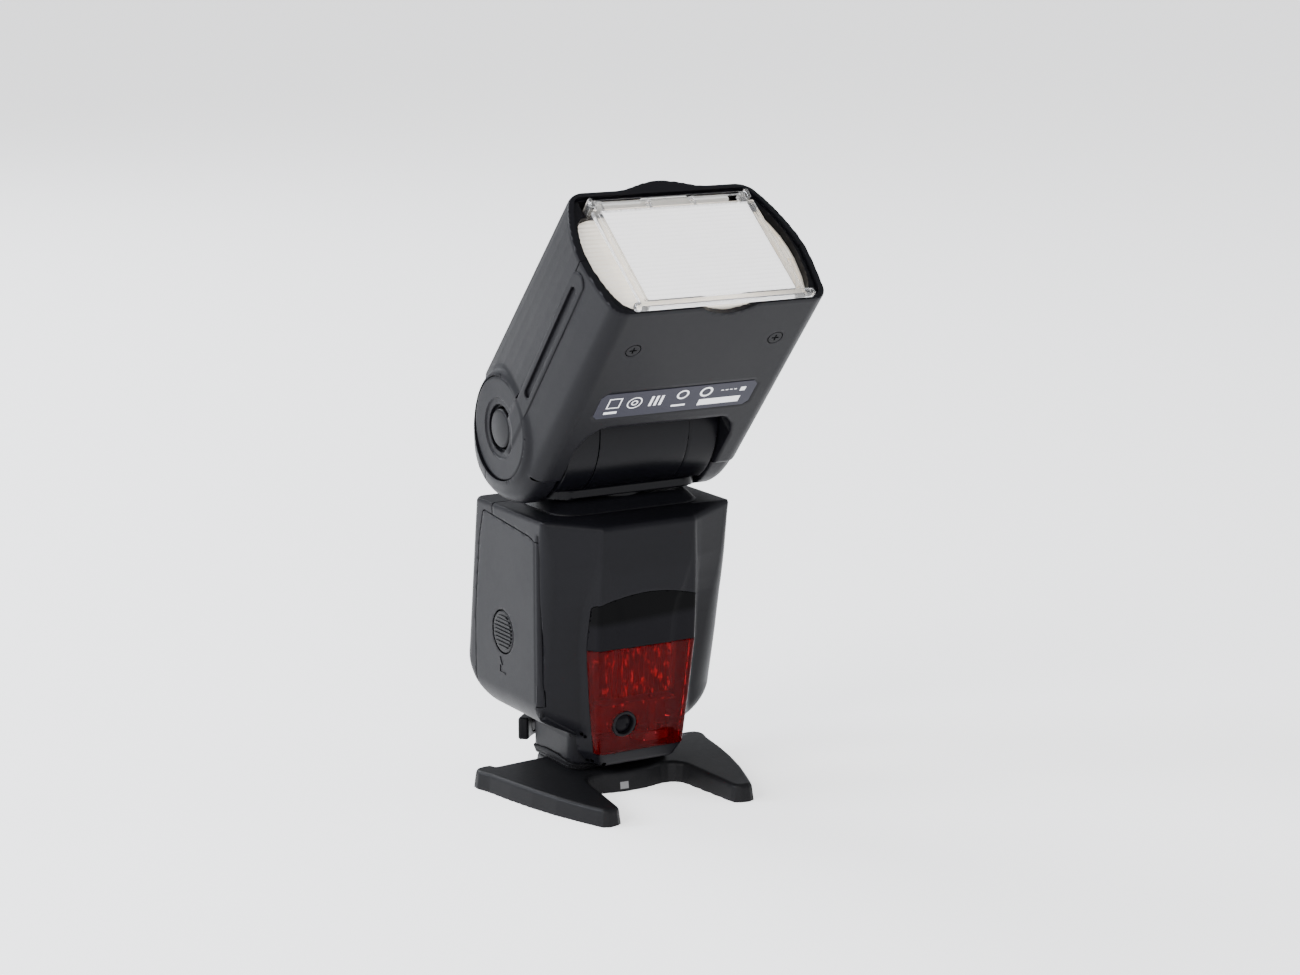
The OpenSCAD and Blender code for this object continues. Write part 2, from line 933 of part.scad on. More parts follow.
module head_screws() {
    color([0.2, 0.2, 0.21])
        head_frame()
            for (s = [-1, 1])
                translate([s * screw_x, -screw_u, -24])
                    difference() {
                        union() {
                            translate([0, 0, -0.05]) cylinder(h = 0.65, r = 2.2);
                            cylinder(h = 7, r = 1.1);
                        }
                        for (a = [0, 90])
                            rotate([0, 0, a]) translate([-1.2, -0.25, -1]) cube([2.4, 0.5, 1.4]);
                    }
}

module tilt_axles() {
    color(steel)
        head_frame()
            for (s = [-1, 1])
                difference() {
                    rod_x(s * 24.3 - 9.8, s * 24.3 + 9.8, axle_r);
                    rod_x(-60, 60, 2);
                }
}

module left_side_cover() {
    color([0.13, 0.13, 0.14])
        head_frame()
            difference() {
                union() {
                    rod_x(-head_hw, -disc_x, disc_r);
                    intersection() {
                        head_form(0);
                        arm_region(-1);
                    }
                }
                rod_x(-60, -30, 7.3);
            }
}

module right_side_cover() {
    color([0.13, 0.13, 0.14])
        head_frame()
            union() {
                rod_x(disc_x, head_hw, disc_r);
                intersection() {
                    head_form(0);
                    arm_region(1);
                }
            }
}

module tilt_button() {
    color(soft_black)
        head_frame()
            union() {
                rod_x(-head_hw, -disc_x - 0.1, 6);
                rod_x(-37, -12.5, 1.95);
            }
}

// ---------- optics ----------

tube_u = 35.1;            // the flash tube, forward of the tilt axis
screw_axis = [31.2, -3];  // (x, z) of the zoom lead screw in the head frame

module reflector() {
    color([0.92, 0.92, 0.9])
        head_frame()
            difference() {
                hull() {
                    block([-25.4, -50.5, -13.8], [25.4, -50, 13.8]);
                    block([-24, -32.6, -4], [24, -32.3, 4]);
                }
                hull() {
                    block([-24.6, -51.5, -13], [24.6, -50.4, 13]);
                    block([-23, -33.4, -2.6], [23, -33.2, 2.6]);
                }
                rod_x(-40, 40, 2.05, -tube_u, 0);
            }
}

module flash_tube() {
    color(clear)
        head_frame() rod_x(-25, 25, 2, -tube_u, 0);
}

module zoom_carriage() {
    color(black)
        head_frame()
            difference() {
                union() {
                    block([-26, -32.2, -10], [28, -30.2, 10]);
                    block([26.2, -43, -5], [28, -30.2, -1]);
                    block([26.2, -43, -5], [30, -39, -1]);
                    rod_y(-43, -39, 3.2, screw_axis[0], screw_axis[1]);
                }
                rod_y(-60, -20, 1.56, screw_axis[0], screw_axis[1]);
            }
}

module zoom_motor() {
    color(steel)
        head_frame()
            difference() {
                rod_y(-37.6, -29, 2.9, screw_axis[0], screw_axis[1]);
                rod_y(-60, -33, 1.55, screw_axis[0], screw_axis[1]);
            }
}

module lead_screw() {
    color(steel)
        head_frame() rod_y(-65, -33.2, 1.5, screw_axis[0], screw_axis[1]);
}

hinge_u = 76.8;
hinge_w = 17.3;

module wide_carriage() {
    color(clear)
        head_frame()
            union() {
                difference() {
                    block([-27.4, -73, 15], [27.4, -29, 16.6]);
                    block([-18, -80, 14], [18, -60, 18]);
                }
                for (s = [-1, 1])
                    translate([s * 26.7, 0, 0]) {
                        block([-0.8, -hinge_u - 1.4, 15], [0.8, -60, 18.5]);
                        rod_x(s > 0 ? -2.4 : 0.4, s > 0 ? -0.4 : 2.4, 0.8, -hinge_u, hinge_w);
                    }
            }
}

module wide_panel() {
    color(clear)
        head_frame()
            difference() {
                union() {
                    block([-25.6, -hinge_u - 0.9, -22.6], [25.6, -hinge_u + 0.9, hinge_w]);
                    rod_x(-25.6, 25.6, 1.4, -hinge_u, hinge_w);
                    block([-30, -hinge_u - 1.6, -24.6], [30, -hinge_u + 0.9, -22.4]);
                }
                rod_x(-60, 60, 0.86, -hinge_u, hinge_w);
            }
}

module catch_panel() {
    color([0.92, 0.92, 0.92])
        head_frame()
            union() {
                block([-23, -74, 18.9], [23, -32, 19.9]);
                block([-8, -75.2, 18.9], [8, -73.9, 19.9]);
            }
}

stand_body();
tripod_insert();
foot_plate();
foot_screws();
foot_contacts();
foot_pedestal();
foot_seal();
front_cover();
rear_cover();
ir_window();
af_window();
sensor_ring();
sensor_lens();
af_lamp_module();
battery_tray();
batteries();
battery_contacts();
door_hinge_pin();
main_board();
main_capacitor();
lcd_window();
lcd_module();
pc_socket();
power_socket();
swivel_collar();
battery_door();
door_lock_button();
lock_lever();
lever_button();
locking_pin();
select_dial();
set_button();
function_button_1();
function_button_2();
function_button_3();
function_button_4();
pilot_button();
power_switch();
terminal_cover();
neck_frame();
neck_end_caps();
swivel_retainer();
head_lower_case();
head_upper_case();
head_bezel();
fresnel_lens();
label_plate();
head_screws();
tilt_axles();
left_side_cover();
right_side_cover();
zoom_motor();
tilt_button();
zoom_carriage();
reflector();
flash_tube();
lead_screw();
wide_carriage();
wide_panel();
catch_panel();
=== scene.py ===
"""A bounce flash on its two-legged mini stand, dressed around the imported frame.

Shapes are worked out in millimetres and become metres when their meshes are made.
"""

import math

import bpy
import numpy as np
from mathutils import Matrix, Vector


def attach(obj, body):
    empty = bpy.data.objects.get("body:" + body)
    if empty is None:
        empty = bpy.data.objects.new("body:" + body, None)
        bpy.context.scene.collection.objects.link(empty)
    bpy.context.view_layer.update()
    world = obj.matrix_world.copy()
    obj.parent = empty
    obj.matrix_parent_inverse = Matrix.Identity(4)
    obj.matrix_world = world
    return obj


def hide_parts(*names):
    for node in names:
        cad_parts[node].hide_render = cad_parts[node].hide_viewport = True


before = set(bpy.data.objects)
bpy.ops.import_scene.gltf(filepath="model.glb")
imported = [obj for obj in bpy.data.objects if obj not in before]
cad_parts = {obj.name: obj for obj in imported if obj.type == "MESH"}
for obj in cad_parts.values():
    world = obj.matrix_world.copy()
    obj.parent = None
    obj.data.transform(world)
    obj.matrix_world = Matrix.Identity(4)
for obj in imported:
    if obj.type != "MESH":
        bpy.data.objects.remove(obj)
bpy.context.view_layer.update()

MM = 0.001
PIVOT_Z = 115.4  # height of the tilt axis
TILT = math.radians(50.4)  # how far the head rests from level
SLOPE = math.atan(9 / 49)  # lean of the rear face

# ---------- frames that pieces are drawn in ----------

ROW = Matrix.Scale(MM, 4)
# head: x across, y back along the head, z up from its long axis
HEAD = ROW @ Matrix.Translation((0, 0, PIVOT_Z)) @ Matrix.Rotation(-TILT, 4, "X")
# rear face: x to the right seen from behind, y up the face, z outwards
REAR = ROW @ Matrix.Translation((0, 28, 87)) @ Matrix(
    ((-1, 0, 0, 0), (0, -math.sin(SLOPE), math.cos(SLOPE), 0),
     (0, math.cos(SLOPE), math.sin(SLOPE), 0), (0, 0, 0, 1)))


# ---------- carving closed solids from distance rules ----------
# A shape is a distance that is negative inside. low() of two shapes joins them, high() keeps what they share.

low, high = np.minimum, np.maximum


def cut(a, b, r=0.0):
    """What lies in both shapes, with its new edge rounded to r."""
    if np.ndim(r) == 0 and r <= 0:
        return high(a, b)
    return low(high(a, b), -r) + np.hypot(high(a + r, 0), high(b + r, 0))


def join(a, b, r=0.0):
    """What lies in either shape, with the inner corner filled to r."""
    if np.ndim(r) == 0 and r <= 0:
        return low(a, b)
    return high(low(a, b), r) - np.hypot(high(r - a, 0), high(r - b, 0))


def slab(v, lo, hi):
    return high(lo - v, v - hi)


def plan(px, py, pts):
    """Distance to a closed outline, negative inside."""
    pts = np.asarray(pts, float)
    best = np.full(np.shape(px), 1e18)
    side = np.ones(np.shape(px))
    for (ax, ay), (bx, by) in zip(pts, np.roll(pts, 1, 0)):
        ex, ey, wx, wy = bx - ax, by - ay, px - ax, py - ay
        t = np.clip((wx * ex + wy * ey) / (ex * ex + ey * ey), 0, 1)
        best = low(best, (wx - ex * t) ** 2 + (wy - ey * t) ** 2)
        up, down, left = py >= ay, py < by, ex * wy > ey * wx
        side = np.where((up & down & left) | (~up & ~down & ~left), -side, side)
    return side * np.sqrt(best)


def mirrored(half):
    return list(half) + [(-x, y) for x, y in reversed(half)]


def rounded_rect(px, py, a, b, r):
    qx, qy = np.abs(px) - a + r, np.abs(py) - b + r
    return np.hypot(high(qx, 0), high(qy, 0)) + low(high(qx, qy), 0) - r


def rounded_box(x, y, z, lo, hi, r):
    c, h = (np.add(lo, hi)) / 2, np.subtract(hi, lo) / 2 - r
    q = [np.abs(v - c[i]) - h[i] for i, v in enumerate((x, y, z))]
    out = np.sqrt(sum(high(v, 0) ** 2 for v in q))
    return out + low(high(high(q[0], q[1]), q[2]), 0) - r


def capsule(px, py, a, b, r):
    """Distance to a bar with round ends that runs from a to b."""
    ex, ey = b[0] - a[0], b[1] - a[1]
    t = np.clip(((px - a[0]) * ex + (py - a[1]) * ey) / (ex * ex + ey * ey), 0, 1)
    return np.hypot(px - a[0] - ex * t, py - a[1] - ey * t) - r


CORNERS = np.array([(i, j, k) for i in (0, 1) for j in (0, 1) for k in (0, 1)])


def link(piece):
    bpy.context.scene.collection.objects.link(piece)
    return piece


def solid_mesh(name, verts, faces, crease=32):
    mesh = bpy.data.meshes.new(name)
    mesh.from_pydata(verts, [], faces)
    mesh.polygons.foreach_set("use_smooth", [True] * len(mesh.polygons))
    mesh.set_sharp_from_angle(angle=math.radians(crease))
    mesh.update()
    return link(bpy.data.objects.new(name, mesh))


def mould(name, shape, lo, hi, cell, place=ROW, crease=32):
    """A closed mesh of the space where shape(x, y, z) < 0, with crisp edges kept."""
    lo = np.asarray(lo, float) - 1.3 * cell
    count = np.ceil((np.asarray(hi, float) + 1.3 * cell - lo) / cell / 16).astype(int) * 16
    stride = np.array([(count[1] + 2) * (count[2] + 2), count[2] + 2, 1])

    def at(index):
        p = lo + index * cell
        return shape(p[:, 0], p[:, 1], p[:, 2])

    size = 16
    blocks = np.stack(np.meshgrid(*[np.arange(0, n, size) for n in count], indexing="ij"), -1).reshape(-1, 3)
    while True:
        blocks = blocks[np.abs(at(blocks + size / 2)) < size * cell * 1.15]
        if size == 1:
            break
        size //= 2
        blocks = (blocks[:, None, :] + CORNERS * size).reshape(-1, 3)
    cells = np.sort(blocks @ stride)
    keys = np.unique((cells[:, None] + CORNERS @ stride).ravel())
    index = np.stack([keys // stride[0], keys // stride[1] % (count[1] + 2), keys % stride[1]], -1)
    value = at(index)
    starts, ends, va, vb, owners, flips = [], [], [], [], [], []
    for axis in range(3):
        there = low(np.searchsorted(keys, keys + stride[axis]), len(keys) - 1)
        hit = (keys[there] == keys + stride[axis]) & ((value < 0) != (value[there] < 0))
        b, c = stride[(axis + 1) % 3], stride[(axis + 2) % 3]
        around = keys[hit][:, None] - np.array([0, b, b + c, c])
        spot = low(np.searchsorted(cells, around), len(cells) - 1)
        whole = (cells[spot] == around).all(1)
        first = np.flatnonzero(hit)[whole]
        starts.append(index[first])
        ends.append(index[there[first]])
        va.append(value[first])
        vb.append(value[there[first]])
        owners.append(spot[whole])
        flips.append(value[first] > 0)
    a, b = lo + np.concatenate(starts) * cell, lo + np.concatenate(ends) * cell
    va, vb, owners, flips = (np.concatenate(v) for v in (va, vb, owners, flips))
    t0, t1, f0, f1 = np.zeros(len(a)), np.ones(len(a)), va, vb
    for _ in range(3):
        t = t0 + (t1 - t0) * np.clip(f0 / (f0 - f1), 0.02, 0.98)
        p = a + (b - a) * t[:, None]
        f = shape(p[:, 0], p[:, 1], p[:, 2])
        near = (f < 0) == (f0 < 0)
        t0, f0 = np.where(near, t, t0), np.where(near, f, f0)
        t1, f1 = np.where(near, t1, t), np.where(near, f1, f)
    p = a + (b - a) * (t0 + (t1 - t0) * f0 / (f0 - f1))[:, None]
    step = 0.01
    n = np.stack([shape(*(p + d).T) - shape(*(p - d).T) for d in np.eye(3) * step], -1)
    n /= np.linalg.norm(n, axis=1)[:, None] + 1e-12
    total = len(cells)
    who = owners.ravel()
    p4, n4 = np.repeat(p, 4, 0), np.repeat(n, 4, 0)

    def gather(w):
        return np.bincount(who, w, total)

    hits = gather(np.ones(len(who)))
    used = hits > 0
    mean = np.stack([gather(p4[:, i]) for i in range(3)], -1) / high(hits, 1)[:, None]
    off = (n4 * (p4 - mean[who])).sum(1)
    quad = np.empty((total, 3, 3))
    for i in range(3):
        for j in range(i, 3):
            quad[:, i, j] = quad[:, j, i] = gather(n4[:, i] * n4[:, j])
    quad += np.eye(3) * 0.08
    pull = np.stack([gather(n4[:, i] * off) for i in range(3)], -1)
    vert = mean + np.linalg.solve(quad, pull[:, :, None])[:, :, 0]
    origin = np.stack([cells // stride[0], cells // stride[1] % (count[1] + 2), cells % stride[1]], -1)
    vert = np.clip(vert, lo + (origin - 0.02) * cell, lo + (origin + 1.02) * cell)
    renumber = np.cumsum(used) - 1
    verts = vert[used]
    faces = renumber[owners]
    faces[flips] = faces[flips][:, ::-1]
    turn = np.array(place)
    verts = verts @ turn[:3, :3].T + turn[:3, 3]
    return solid_mesh(name, verts.tolist(), faces.tolist(), crease)


# ---------- the body's outer form ----------

def panel_depth(z):
    """How far the centre panel stands in front of the swivel axis."""
    return np.interp(z, [9.6, 14.8, 30, 48.2, 56, 63.2, 72, 90], [17.0, 19.3, 21.15, 23.0, 23.7, 24.2, 24.45, 24.5])


def panel_half(z):
    return np.interp(z, [9.6, 14.8, 48.2, 63.2, 87], [12.1, 14.8, 17.1, 16.9, 16.5])


def facet_drop(z):
    """How far the facets start behind the centre panel."""
    return np.interp(z, [12, 18, 30, 48, 56, 62, 66, 74, 86], [2.0, 2.6, 3.5, 4.2, 4.0, 3.4, 2.3, 0.9, 0.35])


def body_form(x, y, z):
    wide = np.abs(x)
    front = -y - panel_depth(z)
    beyond = wide - panel_half(z)
    drop = facet_drop(z)
    facet = beyond * 0.4035 + (front + drop * np.clip((33 - wide) / 13.5, 0, 1)) * 0.915
    corner = np.interp(z, [31, 40, 51, 60, 73, 84, 89], [12, 10.5, 9, 7.5, 4.5, 2.2, 0.9])
    corner = np.where(x < 0, low(corner, np.interp(z, [32, 50], [1.5, 3.5])), corner)
    f = cut(wide - 33, high(facet, front + 0.02), corner)
    rear = (y - 28 - (87 - z) * 9 / 49) * 0.9836
    f = cut(f, rear, np.interp(z, [40, 87], [7, 3.5]))
    top = high(z - 89.2, (-y - 17.4) * 0.32 + (z - 89.2) * 0.947)
    f = cut(f, top, 1.2)
    f = cut(f, (y - 22.5) * 0.726 - (z - 18.8) * 0.687, 6)
    f = cut(f, (wide - 17.5) * 0.431 - (z - 18.8) * 0.902, 5)
    f = cut(f, 18.8 - z, 1.5)
    back = (y + 8.1) * 0.96 - (z - 19) * 0.28
    nose = cut(wide - np.interp(z, [9.6, 19, 40], [14.4, 17.2, 17.6]), front + drop, 4.5)
    nose = cut(cut(nose, 9.6 - z, 1.6), high(back, z - 36), 0.4)
    panel = cut(beyond * 0.894 + front * 0.447, front, 0.8)
    panel = cut(cut(panel, top, 1.2), 9.6 - z, 1.6)
    f = join(f, nose, 1.6)
    return join(f, high(panel, high(back, y + 12)), np.interp(z, [60, 80], [1.2, 0.3]))


def case_wall(x, y, z):
    f = body_form(x, y, z)
    return high(f, -(f + 2.1))


def window_bay(x, y, z):
    """The space that both windows fill."""
    wide = np.abs(x)
    front = -y - panel_depth(z)
    hidden = (-front - facet_drop(z) + 0.35) * 0.85
    side = np.where(z > 54, wide - 20.2, wide - 30)
    top = z - (65.3 - 3.4 * (wide / 19) ** 2)
    f = cut(cut(hidden, top, 1.2), side, 2.5)
    lower = cut(wide - np.interp(z, [13, 16, 48], [15.6, 16.9, 30]), 14.4 - z, 2.2)
    return high(cut(f, lower, 0.1), y + 10)


DOOR = [(-11.4, 80.9), (-8.8, 81.75), (20.0, 84.5), (22.2, 76.8), (25.1, 56), (25.6, 40), (25.1, 31.2), (22.8, 21),
        (-11.4, 21)]
DISPLAY_Y, KEYS_Y, DIAL_Y = -12.6, -26.6, -38.0  # rows of controls down the rear face
KEY_PITCH = 10.6


def door_outline(y, z):
    return plan(y, z, DOOR) - 1.5


def from_hinge(x, y):
    """Distance to the axis that the battery door turns on."""
    return np.hypot(x + 31.5, y + 13)


def from_lock(y, z):
    return np.hypot(y - 8.6, z - 49.7)


def rear_local(x, y, z):
    dy, dz = y - 28, z - 87
    return -x, -dy * math.sin(SLOPE) + dz * math.cos(SLOPE), dy * math.cos(SLOPE) + dz * math.sin(SLOPE)


def case_cuts(x, y, z):
    """Everything that is taken out of the covers."""
    wide = np.abs(x)
    f = high(high(wide - 17.7, slab(y, -8.5, 21)), z - 24)
    f = low(f, high(door_outline(y, z) - 0.17, x + 17.9))
    pocket = high(from_hinge(x, y) - 1.62, slab(z, 31, 82.4))
    # room for the lid's front edge as it swings past the axle
    sweep = high(high(from_hinge(x, y) - 2.35, slab(z, 18, 84.5)), high(x + 31.5, y + 13))
    f = low(low(f, pocket), sweep)
    f = low(f, high(np.hypot(x, y) - 11, 80 - z))
    terminal = high(slab(y, -6.2, 8.2), slab(z, 43.8, 68.2))
    return low(f, high(terminal, 31.3 - x))


def front_case(x, y, z):
    f = case_wall(x, y, z)
    f = cut(f, 0.14 - window_bay(x, y, z), 0.25)
    f = cut(f, y - 14.88, 0.35)
    f = cut(f, -case_cuts(x, y, z), 0.3)
    ends = low(slab(z, 26.5, 30.7), slab(z, 82.3, 86))
    lugs = high(high(from_hinge(x, y) - 1.5, ends), body_form(x, y, z))
    f = low(f, lugs)
    boss = rounded_box(x, y, z, (27.6, -9, 41), (31.3, 11, 71), 0.4)
    return low(f, high(boss, -high(slab(y, -3.6, 5.6), slab(z, 47.4, 63.8))))


def rear_case(x, y, z):
    f = case_wall(x, y, z)
    lx, ly, lz = rear_local(x, y, z)
    # raised surround of the display
    surround = cut(rounded_rect(lx, ly - DISPLAY_Y, 25, 11.6, 3.5), slab(lz, -2.1, 0.5), 0.4)
    f = join(f, surround, 0.5)
    f = cut(f, 15.12 - y, 0.35)
    f = cut(f, -case_cuts(x, y, z), 0.3)
    holes = rounded_rect(lx, ly - DISPLAY_Y, 22.1, 9.9, 2)
    for i in range(4):
        holes = low(holes, rounded_rect(lx - (i - 1.5) * KEY_PITCH, ly - KEYS_Y, 3.9, 2.0, 1.9))
    dial_y = ly - DIAL_Y
    holes = low(holes, np.hypot(lx + 17.5, dial_y) - 3.2)
    holes = low(holes, rounded_rect(lx - 17.5, dial_y, 4.7, 1.8, 1.2))
    holes = low(holes, np.hypot(lx, dial_y) - 2.3)
    f = cut(f, -high(holes, -lz - 12), 0.25)
    return cut(f, -high(np.hypot(lx, dial_y) - 8.4, -0.9 - lz), 0.4)


def battery_lid(x, y, z):
    f = case_wall(x, y, z)
    f = cut(f, high(door_outline(y, z) + 0.17, x + 18.1), 0.35)
    f = cut(f, -high(from_lock(y, z) - 7.0, x + 20), 0.35)
    # raised bent arrow under the lock
    bend, head = (10.6, 36.6), [(9.0, 39.0), (12.2, 39.0), (10.6, 41.6)]
    arrow = low(capsule(y, z, (7.2, 36.6), bend, 0.22), capsule(y, z, bend, (10.6, 39.6), 0.22))
    arrow = low(arrow, plan(y, z, head))
    f = low(f, high(arrow, slab(x, -33.22, -32.4)))
    around = from_hinge(x, y)
    f = cut(f, 1.62 - around, 0.1)
    knuckle = high(high(around - 1.42, slab(z, 31.0, 82.0)), body_form(x, y, z))
    return low(f, knuckle)


def lock_disc(x, y, z):
    far = from_lock(y, z)
    f = cut(far - 6.7, slab(x, -32.9, -30.6), 0.5)
    ridges = cut(far - 5.6, slab(x, -33.3, -32), 0.2)
    comb = np.abs((z - 49.7 + 0.6) % 1.2 - 0.6) - 0.33
    return low(f, cut(ridges, comb, 0.12))


def window_skin(x, y, z):
    f = body_form(x, y, z)
    return cut(high(f, -(f + 1.5)), window_bay(x, y, z), 0.15)


def dark_window(x, y, z):
    return cut(window_skin(x, y, z), 48.33 - z, 0.15)


def from_sensor(x, z):
    return np.hypot(x + 6.6, z - 23.6)


def red_window(x, y, z):
    f = cut(window_skin(x, y, z), z - 48.07, 0.15)
    return cut(f, -high(from_sensor(x, z) - 4.25, y + 10), 0.15)


# ---------- foot and stand ----------

def skirt_line(y):
    """Height of the seam between the foot block and its rubber skirt."""
    return 8.7 + 1.2 * np.clip(1 - ((y - 6) / 13) ** 2, 0, 1)


def foot_block(x, y, z):
    outline = rounded_rect(x, y - 6.1, 17.5, 14.6, 5)
    f = cut(outline, high(skirt_line(y) - z, z - 23.9), 0.5)
    f = high(f, -high(np.abs(z - 17.8) - 0.16, -(outline + 0.35)))
    slot = high(high(slab(z, 11.6, 13.9), high(4.5 - y, np.abs(x) - 15.9)), 2.95 - np.hypot(x, y - 7))
    return cut(f, -slot, 0.25)


def foot_gasket(x, y, z):
    outline = rounded_rect(x, y - 6.3, 18.0, 14.9, 5.2) + np.clip(8.6 - z, 0, 2) * 0.35
    f = cut(outline, high(6.62 - z, z - skirt_line(y) + 0.12), 0.3)
    f = high(f, -high(np.abs(z - 7.7) - 0.2, -(outline + 0.45)))
    return high(f, -rounded_rect(x, y - 6.3, 15.6, 12.4, 4))


STAND = mirrored([
    (0.5, -15.3), (5.5, -14.9), (10.8, -13.7), (13.2, -13.8), (15.2, -14.8), (16.5, -16.4), (17.1, -18.4),
    (19.6, -40.2), (20.1, -41.8), (21.6, -43), (24.8, -43.3), (26.6, -42.5), (27.6, -40.4), (29.9, -34.6),
    (33.4, -25), (36.2, -15), (38.4, -5), (40.2, 5.3), (41.7, 10.2), (41.6, 12.6), (40.2, 14.6), (37.8, 15.2),
    (34.4, 14.9), (33.6, 12.3), (18, 12.3), (17, 18.2)])


def stand_shape(x, y, z):
    top = 6.5 - np.clip((np.hypot(x, y - 2) - 22) / 24, 0, 1)
    f = cut(plan(x, y, STAND) + 0.13 * z, z - top, 1.1)
    f = cut(f, -z, 0.4)
    hole = low(
        high(high(np.abs(x) - 9.45, -3.5 - y), slab(z, 2.2, 4.45)),
        high(high(np.abs(x) - 6.4, -3.5 - y), 2.2 - z))
    hole = low(hole, high(np.hypot(x, y + 1.1) - 1.3, slab(z, 0.5, 6)))
    hole = low(hole, high(np.hypot(x, y + 8.6) - 4.2, z - 5.2))
    return cut(f, -hole, 0.2)


def stud_frame(x, y, z):
    """Distance along and away from the axis of the stud in the lever."""
    a, dy = math.radians(126), y - 7
    along, off = x * math.cos(a) + dy * math.sin(a), -x * math.sin(a) + dy * math.cos(a)
    return along, np.hypot(off, z - 13)


def lever_shape(x, y, z):
    far, turn = np.hypot(x, y - 7), np.degrees(np.arctan2(y - 7, x))
    arc = far * math.pi / 180  # length of one degree here
    rim = cut(cut(slab(far, 22.6, 26), slab(turn, 70, 142) * arc, 0.8), slab(z, 9.4, 16.6), 0.8)
    comb = high(high(np.abs((turn + 1) % 2 - 1) * arc - 0.22, 25.6 - far), slab(z, 10.4, 15.6))
    rim = high(rim, -high(comb, slab(turn, 72, 88) * arc))
    arm = high(cut(slab(far, 4, 23.4), slab(turn, 89, 115) * arc, 0.3), slab(z, 12, 13.5))
    hub = high(far - 5.4, slab(z, 12, 13.5))
    along, away = stud_frame(x, y, z)
    bore = high(away - 2.5, 10 - along)
    return high(high(low(low(rim, arm), hub), 3 - far), -bore)


def lever_stud(x, y, z):
    along, away = stud_frame(x, y, z)
    return cut(away - 2.25, slab(along, 22.7, 26.9), 0.6)


# ---------- collar and neck ----------

def collar_shape(x, y, z):
    t = np.clip((z - 89.2) / 3.4, 0, 1)
    side = rounded_rect(x, y, 25.8 - 3.2 * t, 15.8 - 4.0 * t, 9 - 1.5 * t) * 0.7
    f = cut(side, slab(z, 89.0, 92.7), 0.7)
    return high(f, 11 - np.hypot(x, y))


def barrel(x, y, z, lo, hi):
    far = np.hypot(y, z - PIVOT_Z)
    f = cut(far - 22, slab(x, lo, hi), 0.35)
    f = high(f, 96.4 - z)
    return high(f, 4.05 - far)


def neck_shape(x, y, z):
    f = barrel(x, y, z, -15.4, 15.4)
    plate = cut(rounded_rect(x, y, 25.6, 11.6, 6), slab(z, 93.6, 96.45), 0.5)
    f = low(f, plate)
    f = low(f, high(np.hypot(x, y) - 10.9, slab(z, 84.8, 94)))
    f = high(f, -high(np.hypot(y, z - PIVOT_Z) - 18.6, np.abs(x) - 11.5))
    return high(f, -high(np.hypot(x, y) - 7, slab(z, 80, 104)))


def neck_caps(x, y, z):
    return low(barrel(x, y, z, 15.6, 25.6), barrel(x, y, z, -25.6, -15.6))


# ---------- head: x across, v back, w up; u = -v runs forward ----------

# half width of the head at each height w
HW = np.array([(-26, 35.0), (-22, 35.7), (-18, 36.4), (-13, 37.15), (-8, 37.75), (-3.1, 38.1), (2, 37.5), (7, 36.5),
               (12, 35.1), (17, 33.2), (21, 31.2), (24, 29.4), (28, 27)])
# opening of the bezel, as x and w
WINDOW = mirrored([(26, -22.2), (28.9, -21.7), (31.1, -19.9), (32.6, -16.6), (33.7, -12.5), (34.7, -5), (34.7, -1),
                   (34.2, 4), (33, 9), (31.8, 12), (30, 13.8), (27.5, 14.4)])
# rating plate, as x and u
LABEL = mirrored([(25.2, 28.7), (26.8, 30.3), (26.8, 38.2), (25.2, 39.9)])
# room for the neck under the head: BAY as u and w, ARCH as x and u
BAY = [(0, 0), (27.5, -27), (27.5, -60), (-60, -60), (-60, 15.5), (-20, 13)]
ARCH = mirrored([(14, 24.8), (21.5, 23.3), (24.8, 20), (26.6, 15), (26.6, -40)])
DISC = 15.9  # radius of the side discs
SCREW_X, SCREW_U = 24.0, 59.1


def half_width(w):
    return np.interp(w, HW[:, 0], HW[:, 1])


def head_top(x, u, crown):
    swell = (1 + np.cos(math.pi * np.clip(np.abs(x - 0.8) / 15.5, 0, 1))) * 1.95 * crown
    return 24.1 - 0.009 * u + swell * np.clip((u - 58) / 17.4, 0, 1) ** 1.6


def head_section(x, v, w, crown=1.0):
    """The long walls of the head, open at both ends."""
    u = -v
    lean = np.interp(u, [0, 78], [3.2, 0.0]) * np.clip((w + 3.1) / 25, 0, 1)
    side = (np.abs(x) - half_width(w) - lean) * 0.95
    f = cut(side, w - head_top(x, u, crown), 3.6)
    return cut(f, -w - 22.8 - 0.0216 * u, 4.2)


def head_form(x, v, w):
    u = -v
    far = np.hypot(u, w)
    tail = np.where(u < 0, far - 23.4, np.abs(w) - 29)
    f = cut(head_section(x, v, w), tail, 5.5)
    cheek = cut(far - 16.6, np.abs(x) - 37.4, 0.6)
    f = join(f, cheek, 3.0)
    return cut(f, u - 75.4, 0.8)


def neck_gap(x, v, w):
    u = -v
    room = high(np.hypot(u, w) - 22.6, np.abs(x) - 26.6)
    below = high(plan(u, w, BAY), plan(x, u, ARCH))
    return low(room, below)


def head_hollow(x, v, w):
    return high(head_section(x, v, w, 0.0) + np.where(v < -66, 1.9, 2.2), 27 + v)


def arm_strip(u, w):
    """The rail that runs forward from each side disc."""
    return capsule(u, w, (0, -5.2), (69.5, -5.9), 3.3)


